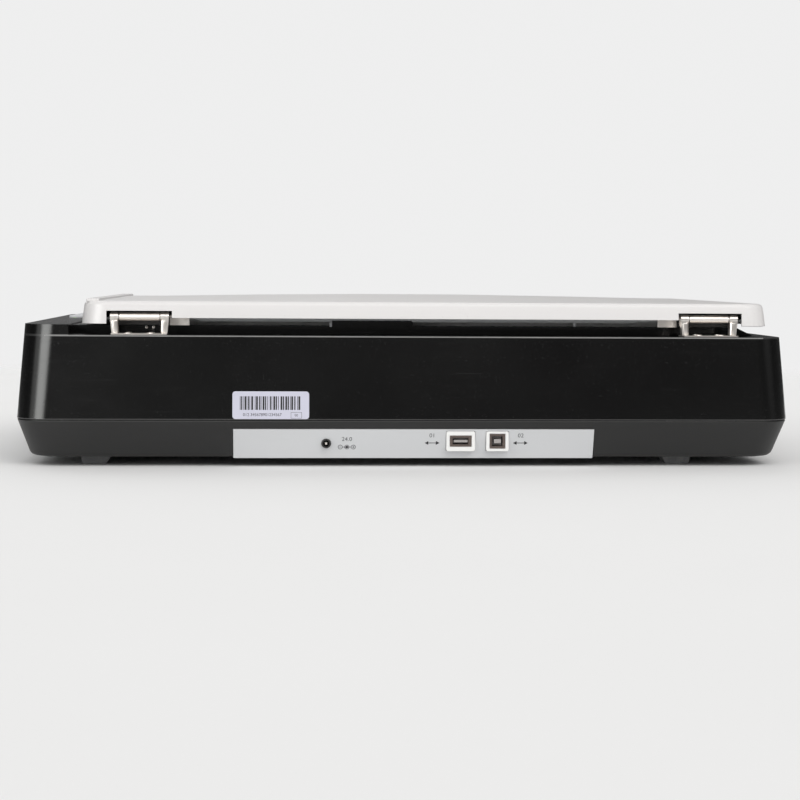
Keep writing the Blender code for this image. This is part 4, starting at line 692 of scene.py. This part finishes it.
# %% Thicker cheeks
PLATE_THICKNESS = 0.0035
PLATE_NARROWING = 0.95
LEG_SIZE = (0.0064, 0.0070, 0.0120)
LEG_MIDDLE = 0.0062
LEG_NARROWING = 0.86
LEG_SHIFT = 0.0008
LEG_ROUNDING = 0.0019
for side in ("left", "right"):
    low, high = corners(f"hinge_base_{side}")
    middle = (low + high) / 2
    hinge_base = skins[f"hinge_base_{side}"]
    hinge_base.data.materials[0] = CAST_NICKEL
    for vertex in hinge_base.data.vertices:
        if vertex.co.z < low.z + PLATE_THICKNESS:
            vertex.co.x = middle.x + PLATE_NARROWING * (vertex.co.x - middle.x)
    legs = []
    for end, outer in ((-1, low.x), (1, high.x)):
        leg = block(LEG_SIZE, (outer - end * LEG_SIZE[0] / 2, middle.y, low.z + LEG_MIDDLE))
        pick_faces(leg, faces_down)
        bpy.ops.transform.resize(value=(LEG_NARROWING, 1.0, 1.0))
        bpy.ops.transform.translate(value=(-end * LEG_SHIFT, 0, 0))
        leave_edit()
        bevel(leg, LEG_ROUNDING, segments=5)
        smooth(leg, SHARP_ANGLE)
        legs.append(leg)
    finished(joined(legs), f"cheek_legs_{side}", "base", "nickel", CAST_NICKEL)
print("cheek legs: 4")

# %% [markdown]
# In a data socket the stamped metal mouth sits a little behind its white frame. Its shadow is
# painted: the mouth's metal is coloured brown and its tongue grey as painted shade.

# %% Recessed socket mouths
MOUTH_DEPTH = 0.0013
MOUTH_FRONT = 0.0003
for node in ("usb_host_shell", "usb_device_shell"):
    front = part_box(node)[1][1]
    pick_faces(skins[node], lambda centre, normal: centre.y > front - MOUTH_FRONT)
    bpy.ops.transform.translate(value=(0, -MOUTH_DEPTH, 0))
    leave_edit()
    # Painted shade: the set-back mouth takes a brown steel, and the tongue below takes a grey.
    skins[node].data.materials[0] = STEEL_IN_PAINTED_SHADE
for node in ("usb_host_insert", "usb_device_insert"):
    skins[node].data.materials[0] = TONGUE_IN_PAINTED_SHADE
print("mouths set back", 1000 * MOUTH_DEPTH, "mm")

# %% [markdown]
# Before the cheeks hangs a small black sheet, fixed to the lid: painted shade, a dark sheet put in
# the gap under the lid where there is only shadow.

# %% A sheet of painted shade
SHADE_SHEET_THICKNESS = 0.0010
SHADE_SHEET_HEIGHT = 0.0058
SHADE_SHEET_Y = 0.1640
SHADE_SHEET_Z = 0.1145
for side in ("left", "right"):
    low, high = corners(f"hinge_base_{side}")
    size = (high.x - low.x, SHADE_SHEET_THICKNESS, SHADE_SHEET_HEIGHT)
    # Painted shade: a black sheet standing in for the shadow in the gap behind each hinge.
    shade_sheet = block(size, ((low.x + high.x) / 2, SHADE_SHEET_Y, SHADE_SHEET_Z))
    bevel(shade_sheet, 0.0003)
    finished(shade_sheet, f"painted_shade_sheet_{side}", "lid", "black_plastic")
print("aprons: 2")

# %% [markdown]
# ## The document mat
#
# Under the lid hangs a foam mat with a white sheet on it, which presses the paper on the glass. It
# is a flat cushion, so its free face isn't dead level: it is fullest in the middle, its rim is
# rolled over, and the foam leaves shallow dimples. A cloth simulation would blow it up far more
# than a glued mat ever does, so a gridded slab is shaped in code instead.

# %% Document mat
MAT_CUTS = 10
MAT_ROLL = 0.0016
MAT_RIM_RISE = 0.0006
MAT_DIMPLE = 0.00012
low, high = corners("document_pad")
middle = (low + high) / 2
size = high - low
mat = block(size, middle)
edit_all()
bpy.ops.mesh.subdivide(number_cuts=MAT_CUTS)
leave_edit()
bevel(mat, MAT_ROLL, segments=4, degrees=SHARP_ANGLE)
soften = mat.modifiers.new("soften", "SUBSURF")
soften.levels = 2
apply_modifiers(mat)
for vertex in mat.data.vertices:
    if vertex.co.z > middle.z:
        continue
    x = 2 * (vertex.co.x - middle.x) / size.x
    y = 2 * (vertex.co.y - middle.y) / size.y
    fullness = (1 - min(abs(x), 1) ** 6) * (1 - min(abs(y), 1) ** 6)
    dimple = math.sin(41 * x + 3 * math.sin(9 * y)) * math.sin(33 * y + 2 * math.sin(13 * x))
    vertex.co.z += MAT_RIM_RISE * (1 - fullness) + MAT_DIMPLE * (1 + dimple) * fullness
smooth(mat, 60)
finished(mat, "document_mat", "lid", "document_mat")
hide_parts("document_pad")
print("mat:", [round(1000 * value, 1) for value in mat.dimensions], "mm")
print("mat faces:", len(mat.data.polygons))

# %% [markdown]
# ## Printing on a sloping face
#
# The sockets' signs and the sticker are flat prints on faces that lean a little. Text is easiest
# typed, turned into a mesh, and laid on the face by one matrix whose columns are the face's right,
# up and outward directions, as a reader behind the scanner sees them. Ink gets a real thickness of
# a few hundredths of a millimetre, so that it never fights with the face below it for the pixels.

# %% Faces to print on
REAR_Y = 0.2
SEAM_Z = 0.0375
TUB_LEAN = math.atan2(0.0098, 0.0299)
SHELL_LEAN = math.atan2(0.0061, 0.0749)


def reading_frame(point, up, out):
    """Right, up and out of a face as columns, with the origin at a point on it."""
    up = Vector(up).normalized()
    out = Vector(out).normalized()
    matrix = Matrix((up.cross(out), up, out)).transposed().to_4x4()
    return Matrix.Translation(point) @ matrix


def rear_face(lean):
    """A part of the rear wall at the seam. A positive lean brings its top toward the reader."""
    up = (0, math.sin(lean), math.cos(lean))
    return reading_frame((0, REAR_Y, SEAM_Z), up, (0, math.cos(lean), -math.sin(lean)))


def top_face(z):
    return reading_frame((0, 0, z), (0, 1, 0), (0, 0, 1))


def up_tub(z):
    return (z - SEAM_Z) / math.cos(TUB_LEAN)


def up_shell(z):
    return (z - SEAM_Z) / math.cos(SHELL_LEAN)


PANEL_FACE = rear_face(TUB_LEAN)
SHELL_FACE = rear_face(-SHELL_LEAN)
print("lean of tub:", round(math.degrees(TUB_LEAN), 1), "degrees")
print("lean of shell:", round(math.degrees(SHELL_LEAN), 1), "degrees")

# %% Ink, and shapes made of it
INK_THICKNESS = 0.00004
FINE_LINE = 0.0004
DIGIT_SHARE = 0.70


def ink(name, colour):
    """Screen-printed ink: flat colour broken by a fine grain, and a little glossy."""
    finish = Finish(name, Specular_IOR_Level=0.35)
    grain = finish.noise(3000.0, 2.0)
    lighter = tuple(min(channel * 1.5 + 0.004, 1.0) for channel in colour[:3]) + (1.0,)
    finish.set("Base Color", finish.mix(grain, colour, lighter))
    finish.set("Roughness", 0.38 + 0.14 * grain)
    return finish.material


GREY_INK = ink("grey_ink", (0.050, 0.052, 0.056, 1))
BLACK_INK = ink("black_ink", (0.012, 0.012, 0.014, 1))
PALE_INK = ink("pale_ink", (0.62, 0.63, 0.64, 1))


def lay(piece, face, across, up, turn=0.0):
    """Lays a flat piece on a face, so far across it to the reader's right and so far up."""
    matrix = face @ Matrix.Translation((across, up, 0)) @ Matrix.Rotation(turn, 4, "Z")
    piece.matrix_world = matrix
    return settle(piece)


def thicken_and_lay(piece, face, across, up, turn=0.0):
    edit_all()
    extrude(INK_THICKNESS)
    leave_edit()
    return lay(piece, face, across, up, turn)


def disc(radius, sides):
    start()
    bpy.ops.mesh.primitive_circle_add(vertices=sides, radius=radius, fill_type="NGON")
    return bpy.context.object


def printed_text(words, height, face, across, up):
    start()
    bpy.ops.object.text_add()
    piece = bpy.context.object
    piece.data.body = words
    piece.data.size = height / DIGIT_SHARE
    piece.data.align_x = "CENTER"
    piece.data.align_y = "CENTER"
    piece.data.extrude = INK_THICKNESS
    piece.data.resolution_u = 4
    bpy.ops.object.convert(target="MESH")
    return lay(bpy.context.object, face, across, up)


def printed_bar(width, height, face, across, up):
    return thicken_and_lay(flat(width, height), face, across, up)


def printed_dot(radius, face, across, up):
    return thicken_and_lay(disc(radius, 20), face, across, up)


def printed_ring(radius, line, face, across, up):
    """A ring of ink: a disc is inset and its middle deleted."""
    piece = disc(radius, 32)
    edit_all()
    bpy.ops.mesh.inset(thickness=line)
    bpy.ops.mesh.delete(type="FACE")
    leave_edit()
    return thicken_and_lay(piece, face, across, up)


def printed_triangle(radius, face, across, up, turn):
    return thicken_and_lay(disc(radius, 3), face, across, up, turn)


print("inks: 3")

# %% [markdown]
# ## Signs by the sockets
#
# The sockets are named by small grey print on the plate: a voltage and the usual polarity sign by
# the power socket, and by each data socket a number over a two-way arrow. They are plain signs of
# the kind that any maker could use, each built from bars, rings and digits.

# %% Socket signs
SIGN_RING = 0.0019
SIGN_STROKE = 0.0018
SIGN_DOT = 0.0011
SIGN_PITCH = 0.0052
SIGN_BAR = 0.0072
ARROW_BAR = 0.0070
ARROW_LINE = 0.0006
ARROW_HEAD = 0.0019
ARROW_PITCH = 0.0040
SOCKET_DIGITS = 0.0034


def polarity_sign(across, z):
    """A ring with a minus, a dot in an open ring, and a ring with a plus, on one line."""
    up = up_tub(z)
    parts = [printed_bar(SIGN_BAR, FINE_LINE, PANEL_FACE, across, up)]
    for ring in (across - SIGN_PITCH, across + SIGN_PITCH):
        parts.append(printed_ring(SIGN_RING, FINE_LINE, PANEL_FACE, ring, up))
        parts.append(printed_bar(SIGN_STROKE, FINE_LINE, PANEL_FACE, ring, up))
    parts.append(printed_bar(FINE_LINE, SIGN_STROKE, PANEL_FACE, across + SIGN_PITCH, up))
    parts.append(printed_dot(SIGN_DOT, PANEL_FACE, across, up))
    parts.append(printed_ring(SIGN_RING, FINE_LINE, PANEL_FACE, across, up))
    return parts


def two_way_arrow(across, z):
    up = up_tub(z)
    parts = [printed_bar(ARROW_BAR, ARROW_LINE, PANEL_FACE, across, up)]
    for side in (-1, 1):
        tip = across + side * ARROW_PITCH
        parts.append(printed_triangle(ARROW_HEAD, PANEL_FACE, tip, up, -side * math.pi / 2))
    return parts


words = [
    printed_text(digits, SOCKET_DIGITS, PANEL_FACE, across, up_tub(z))
    for digits, across, z in (
        ("24.0", -0.0482, 0.0222), ("01", 0.0197, 0.0252), ("02", 0.0905, 0.0252)
    )
]
finished(joined(words), "socket_numbers", "base", "socket_plate", GREY_INK)
signs = polarity_sign(-0.0482, 0.0158)
signs += two_way_arrow(0.0197, 0.0192) + two_way_arrow(0.0905, 0.0192)
socket_signs = finished(joined(signs), "socket_signs", "base", "socket_plate", BLACK_INK)
print("socket signs:", len(socket_signs.data.polygons), "faces")

# %% [markdown]
# ## The sticker
#
# A paper sticker sits on the shell's rear face, its lower edge on the seam. Its bars, digits and
# little frame stand for stock-keeping print, and they say nothing: the widths of the bars come
# from a formula and the digits just count up. The paper is a thin slab with rounded corners.

# %% Sticker paper
STICKER_LEFT, STICKER_RIGHT = -0.1387, -0.0783
STICKER_FOOT, STICKER_TOP = 0.0385, 0.0603
STICKER_CORNER = 0.0024
STICKER_THICKNESS = 0.00012


def paper():
    finish = Finish("sticker_paper", Specular_IOR_Level=0.45)
    fibre = finish.noise(1100.0, 4.0, 0.7)
    cloud = finish.noise(60.0, 2.0)
    finish.set("Base Color", finish.mix(cloud, (0.53, 0.53, 0.63, 1), (0.60, 0.60, 0.70, 1)))
    finish.set("Roughness", 0.34 + 0.12 * fibre)
    finish.bump(fibre + 2.0 * finish.noise(45.0, 2.0), 0.00003)
    return finish.material


foot, top = up_shell(STICKER_FOOT), up_shell(STICKER_TOP)
sticker = card(STICKER_RIGHT - STICKER_LEFT, top - foot, STICKER_CORNER, STICKER_THICKNESS)
lay(sticker, SHELL_FACE, (STICKER_LEFT + STICKER_RIGHT) / 2, (foot + top) / 2)
finished(sticker, "sticker", "base", "shell_black", paper())
print("sticker:", [round(1000 * value, 1) for value in sticker.dimensions], "mm")

# %% Sticker print
PAPER_FACE = SHELL_FACE @ Matrix.Translation((0, 0, STICKER_THICKNESS))
GOLDEN = 0.618034
BAR_UNIT = 0.00047
BAR_HEIGHT = 0.0107
BARS_START, BARS_LENGTH, BARS_Z = -0.1328, 0.0480, 0.0511
CODE_ACROSS, CODE_Z, CODE_HEIGHT = -0.1152, 0.0419, 0.0023
FRAME_ACROSS, FRAME_Z = -0.0884, 0.0415
FRAME_LINE = 0.00022
marks = []
place = 0.0
count = 0
while place < BARS_LENGTH:
    bar = BAR_UNIT * (1 + int(3 * (GOLDEN * count % 1)))
    gap = BAR_UNIT * (1 + int(2.4 * ((0.37 + 2.3 * GOLDEN * count) % 1)))
    across = BARS_START + place + bar / 2
    marks.append(printed_bar(bar, BAR_HEIGHT, PAPER_FACE, across, up_shell(BARS_Z)))
    place += bar + gap
    count += 1
code = printed_text("012 345678901234567", CODE_HEIGHT, PAPER_FACE, CODE_ACROSS, up_shell(CODE_Z))
marks.append(code)
for z in (0.0392, 0.0438):
    marks.append(printed_bar(0.0084, FRAME_LINE, PAPER_FACE, FRAME_ACROSS, up_shell(z)))
for across in (-0.0926, -0.0842):
    marks.append(printed_bar(FRAME_LINE, 0.0046, PAPER_FACE, across, up_shell(FRAME_Z)))
marks.append(printed_text("00", 0.0019, PAPER_FACE, FRAME_ACROSS, up_shell(FRAME_Z)))
finished(joined(marks), "sticker_print", "base", "shell_black", BLACK_INK)
print("bars:", count, "in", round(1000 * place, 1), "mm")

# %% [markdown]
# ## Marks on the deck and the keys
#
# Round the glass runs a pale printed scale that a user lays the sheet against: a tick every ten
# millimetres, longer at each fifty, with plain numbers at common paper sizes and a triangle at the
# corner where the sheet goes. The keys carry digits, and the last one the sign for on and off.

# %% Deck scale
BUMPER_CLEARANCE = 0.0003
DECK_FACE = top_face(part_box("bumper_left")[0][2] - BUMPER_CLEARANCE)
SHEET_X, SHEET_Y = 0.2145, 0.128
TICK_PITCH = 0.010
TICK_MARGIN = 0.0015
NUMBER_MARGIN = 0.0105
NUMBER_HEIGHT = 0.0030
ARROW_MARGIN = 0.0070


def tick_length(index):
    return 0.0050 if index % 5 == 0 else 0.0028


scale = []
for index in range(44):
    length = tick_length(index)
    x, y = SHEET_X - TICK_PITCH * index, SHEET_Y + TICK_MARGIN + length / 2
    scale.append(printed_bar(FINE_LINE, length, DECK_FACE, x, y))
for index in range(31):
    length = tick_length(index)
    x, y = SHEET_X + TICK_MARGIN + length / 2, SHEET_Y - TICK_PITCH * index
    scale.append(printed_bar(length, FINE_LINE, DECK_FACE, x, y))
for number in (148, 210, 297, 420):
    x, y = SHEET_X - number / 1000, SHEET_Y + NUMBER_MARGIN
    scale.append(printed_text(str(number), NUMBER_HEIGHT, DECK_FACE, x, y))
x, y = SHEET_X + ARROW_MARGIN, SHEET_Y + ARROW_MARGIN
scale.append(printed_triangle(0.0045, DECK_FACE, x, y, math.radians(165)))
deck_scale = finished(joined(scale), "deck_scale", "base", "shell_black", PALE_INK)
print("scale faces:", len(deck_scale.data.polygons))

# %% Key signs
KEY_LINE = 0.0005
for index in range(1, 6):
    low, high = corners(f"key_{index}")
    key_top = top_face(high.z)
    x, y = (low.x + high.x) / 2, (low.y + high.y) / 2
    if index < 5:
        sign = printed_text(str(index), 0.0048, key_top, x, y)
    else:
        ring = printed_ring(0.0024, KEY_LINE, key_top, x, y)
        sign = joined([ring, printed_bar(KEY_LINE, 0.0026, key_top, x, y + 0.0018)])
    finished(sign, f"key_sign_{index}", f"push_key_{index}", "key_grey", GREY_INK)
print("keys signed: 5")

# %% [markdown]
# ## Screws
#
# Metal screws hold the hinges, the boards, the motor and the case. A pan-head screw is a low
# cylinder, domed by a bevel round its top, with a cross sunk in it for the driver. It is modelled
# once with a Boolean for the cross, and then copied, each copy with a mesh of its own. Its lower
# half is sunk in the face that it holds.

# %% One screw, and its copies
def screw_head(radius, height):
    start()
    bpy.ops.mesh.primitive_cylinder_add(
        vertices=24, radius=radius, depth=height, location=(0, 0, height / 2)
    )
    head = bpy.context.object
    pick_faces(head, faces_up)
    bpy.ops.mesh.bevel(offset=height * 0.45, segments=4, affect="EDGES")
    leave_edit()
    for turn in (0.0, math.pi / 2):
        blade = block((radius * 1.15, radius * 0.26, height), (0, 0, height), turn)
        cut_out(head, blade)
    smooth(head, 40)
    return head


def drive_screws(name, master, places, out, body, slot):
    """Copies of one screw at points of a surface, their heads facing out, as one piece."""
    lean = Vector(out).to_track_quat("Z", "Y").to_matrix().to_4x4()
    copies = []
    for index, place in enumerate(places):
        copy = bpy.data.objects.new(name, master.data.copy())
        bpy.context.scene.collection.objects.link(copy)
        spin = Matrix.Rotation(math.radians(37 * index), 4, "Z")
        copy.matrix_world = Matrix.Translation(place) @ lean @ spin
        copies.append(settle(copy))
    select(*copies)
    bpy.ops.object.join()
    return finished(bpy.context.object, name, body, slot)


UP, DOWN, REARWARD = (0, 0, 1), (0, 0, -1), (0, 1, 0)
UNDERSIDE_Z = 0.0076
BOARD_THICKNESS = 0.0016
BOARD_MARGIN = 0.006
pan_head = screw_head(0.0026, 0.0013)
small_head = screw_head(0.0013, 0.0008)
case_head = screw_head(0.0032, 0.0012)

# %% Where the screws go
for side in ("left", "right"):
    low, high = corners(f"hinge_base_{side}")
    middle = (low + high) / 2
    xs, ys = (middle.x - 0.009, middle.x + 0.009), (middle.y - 0.006, middle.y + 0.006)
    places = [(x, y, low.z + 0.001) for x in xs for y in ys]
    drive_screws(f"hinge_screws_{side}", pan_head, places, UP, "base", "nickel")
places = [(x, 0.15, 0.1094) for x in (0.2090, 0.2034)]
drive_screws("deck_screws", small_head, places, REARWARD, "base", "nickel")
places = [(x, y, UNDERSIDE_Z) for x in (-0.268, -0.02, 0.275) for y in (-0.172, 0.168)]
drive_screws("case_screws", case_head, places, DOWN, "base", "steel")
low, high = corners("main_board")
board_top = low.z + BOARD_THICKNESS
xs = (low.x + BOARD_MARGIN, high.x - BOARD_MARGIN)
ys = (low.y + BOARD_MARGIN, high.y - BOARD_MARGIN)
places = [(x, y, board_top) for x in xs for y in ys]
drive_screws("board_screws", small_head, places, UP, "base", "steel")
low, high = corners("motor_bracket")
places = [(x, 0.0925, high.z) for x in (-0.2745, -0.2495)]
drive_screws("motor_screws", small_head, places, UP, "base", "steel")
low, high = corners("carriage_cover")
xs, ys = (low.x + 0.006, high.x - 0.006), (low.y + 0.008, (low.y + high.y) / 2, high.y - 0.008)
places = [(x, y, high.z) for x in xs for y in ys]
drive_screws("cover_screws", small_head, places, UP, "carriage", "steel")
for master in (pan_head, small_head, case_head):
    bpy.data.objects.remove(master, do_unlink=True)
print("screws driven")

# %% [markdown]
# ## On the main board
#
# A bare green plate wouldn't read as electronics. The tallest parts are enough: three electrolytic
# capacitors, and the white connectors where the harnesses plug in.

# %% Board parts
PIN_WIDTH = 0.0005
HEADER_DEPTH, HEADER_HEIGHT = 0.0046, 0.0060
HEADERS = ((-0.030, 0.114, 0.024, 10), (0.020, 0.114, 0.014, 5))
CANS = (
    (0.058, 0.135, 0.0040, 0.0100), (0.058, 0.146, 0.0032, 0.0085),
    (-0.070, 0.125, 0.0032, 0.0085),
)


def capacitor(x, y, radius, height):
    """An aluminium can: a cylinder with a sunk top and rounded edges."""
    start()
    bpy.ops.mesh.primitive_cylinder_add(
        vertices=28, radius=radius, depth=height, location=(x, y, board_top + height / 2)
    )
    can = settle(bpy.context.object)
    pick_faces(can, faces_up)
    bpy.ops.mesh.inset(thickness=radius * 0.14)
    bpy.ops.transform.translate(value=(0, 0, -height * 0.03))
    leave_edit()
    bevel(can, radius * 0.08, degrees=SHARP_ANGLE)
    smooth(can)
    return can


def header(x, y, length, pins):
    """A white connector: a block whose top is inset and sunk, and a row of pins in it."""
    size = (length, HEADER_DEPTH, HEADER_HEIGHT)
    shell = block(size, (x, y, board_top + HEADER_HEIGHT / 2))
    pick_faces(shell, faces_up)
    bpy.ops.mesh.inset(thickness=0.0006)
    extrude(-HEADER_HEIGHT * 0.7)
    leave_edit()
    bevel(shell, 0.0002)
    row = []
    for index in range(pins):
        pin_x = x + length * ((index + 0.5) / pins - 0.5) * 0.86
        place = (pin_x, y, board_top + HEADER_HEIGHT * 0.45)
        row.append(block((PIN_WIDTH, PIN_WIDTH, HEADER_HEIGHT * 0.8), place))
    return shell, joined(row)


finished(joined([capacitor(*can) for can in CANS]), "capacitors", "base", "steel")
for number, (x, y, length, pins) in enumerate(HEADERS, start=1):
    shell, row = header(x, y, length, pins)
    finished(shell, f"header_{number}", "base", "white_plastic")
    finished(row, f"header_pins_{number}", "base", "brass")
print("board parts:", len(CANS), "cans,", len(HEADERS), "headers")

# %% [markdown]
# ## Underneath
#
# Turned over, the tub shows a bare plate for the rating label and a field of cooling slots below
# the board. The slots are cut into the smooth skin with a Boolean, as the mould has them.

# %% Slots and label plate
SLOT_COUNT = 12
SLOT_PITCH = 0.009
SLOT_SIZE = (0.0028, 0.034, 0.012)
SLOTS_X, SLOTS_Y = -0.055, 0.060
LABEL_SIZE = (0.070, 0.042)
LABEL_CORNER = 0.003
LABEL_THICKNESS = 0.00015
slots = [
    block(SLOT_SIZE, (SLOTS_X + SLOT_PITCH * index, SLOTS_Y, 0.009)) for index in range(SLOT_COUNT)
]
tub = skins["lower_housing"]
cut_out(tub, joined(slots))
smooth(tub)
print("tub faces:", len(tub.data.polygons))

underside = reading_frame((0, 0, UNDERSIDE_Z), (0, 1, 0), DOWN)
label = card(*LABEL_SIZE, LABEL_CORNER, LABEL_THICKNESS)
lay(label, underside, 0.10, -0.02)
finished(label, "label_plate", "base", "socket_plate")
print("label plate:", [round(1000 * value, 1) for value in label.dimensions], "mm")

# %% [markdown]
# ## Floor, backdrop and light
#
# A product picture of a black and white object needs light that is soft and even, or the white
# clips while the black drowns. The floor is a pale disc that fades out, and the world is a pale
# room: as bright as the floor where the camera looks at it, so that no horizon shows. What a gloss
# mirrors is a dim room instead, as in a studio, where the camera's side is dark: that keeps black
# black. The form is drawn by five wide suns. A sun lights the far floor as it does the near one,
# which a lamp at a distance can't, and its wide angle softens every shadow. A sixth, the strip,
# shows in gloss alone: it is the long highlight down the shell's rounded corner.

# %% Floor
FLOOR_RADIUS = 1.7
FLOOR_FADE_START = 1.2
start()
bpy.ops.mesh.primitive_circle_add(vertices=96, radius=FLOOR_RADIUS, fill_type="NGON")
floor = bpy.context.object
floor.name = "floor"
finish = Finish("floor", Specular_IOR_Level=0.0)
mottle = finish.noise(3.0, 3.0, 0.5)
finish.set("Base Color", finish.mix(mottle, (0.78, 0.78, 0.78, 1), (0.80, 0.80, 0.80, 1)))
finish.set("Roughness", 0.80 + 0.10 * mottle)
x, y, z = finish.axes()
faded = finish.step((x * x + y * y) ** 0.5, FLOOR_FADE_START, FLOOR_RADIUS)
clear = finish.node("ShaderNodeBsdfTransparent", {}, {})[0]
surface = Value(finish, finish.shader.outputs[0])
blend = finish.node("ShaderNodeMixShader", {}, {0: faded, 1: surface, 2: clear})[0]
finish.feed(finish.tree.nodes["Material Output"].inputs["Surface"], blend)
floor.data.materials.append(finish.material)
print("floor across:", round(floor.dimensions.x, 1), "m")

# %% World
ROOM_AS_LIGHT = 0.46
ROOM_AS_SEEN = 0.86
ROOM_IN_GLOSS = 0.075
world = bpy.data.worlds.new("room")
world.use_nodes = True
bpy.context.scene.world = world
room = Recipe(world.node_tree)
ray = room.node("ShaderNodeLightPath", {}, {})
seen = (ROOM_AS_SEEN - ROOM_AS_LIGHT) * (ray["Is Camera Ray"] + ray["Is Transmission Ray"])
strength = ROOM_AS_LIGHT + seen + (ROOM_IN_GLOSS - ROOM_AS_LIGHT) * ray["Is Glossy Ray"]
backdrop = world.node_tree.nodes["Background"]
backdrop.inputs["Color"].default_value = (1.0, 1.0, 1.0, 1.0)
room.feed(backdrop.inputs["Strength"], strength)
bpy.context.scene.view_settings.view_transform = "Standard"
print("room seen at", ROOM_AS_SEEN, "and mirrored at", ROOM_IN_GLOSS)

# %% Suns
COOL = (0.99, 1.0, 0.98)
WARM = (1.0, 0.985, 0.965)


def sun(name, bearing, height, strength, width, colour=(1.0, 1.0, 1.0)):
    """A sun at a bearing from the rear toward the left, and at a height, both in degrees."""
    light = bpy.data.lights.new(name, "SUN")
    light.energy = strength
    light.angle = math.radians(width)
    light.color = colour
    lamp = bpy.data.objects.new(name, light)
    bearing, height = math.radians(bearing), math.radians(height)
    level = math.cos(height)
    toward = Vector((math.sin(bearing) * level, math.cos(bearing) * level, math.sin(height)))
    lamp.rotation_euler = toward.to_track_quat("Z", "Y").to_euler()
    bpy.context.scene.collection.objects.link(lamp)
    return lamp


sun("left", 48, 15, 0.68, 48, COOL)
strip = sun("strip", 34, 15, 2.2, 36, COOL)
strip.visible_diffuse = False
sun("right", -62, 30, 0.22, 50)
sun("behind camera", -16, 42, 1.46, 50, WARM)
sun("front", 165, 40, 0.6, 60)
sun("top", 0, 90, 0.25, 90)
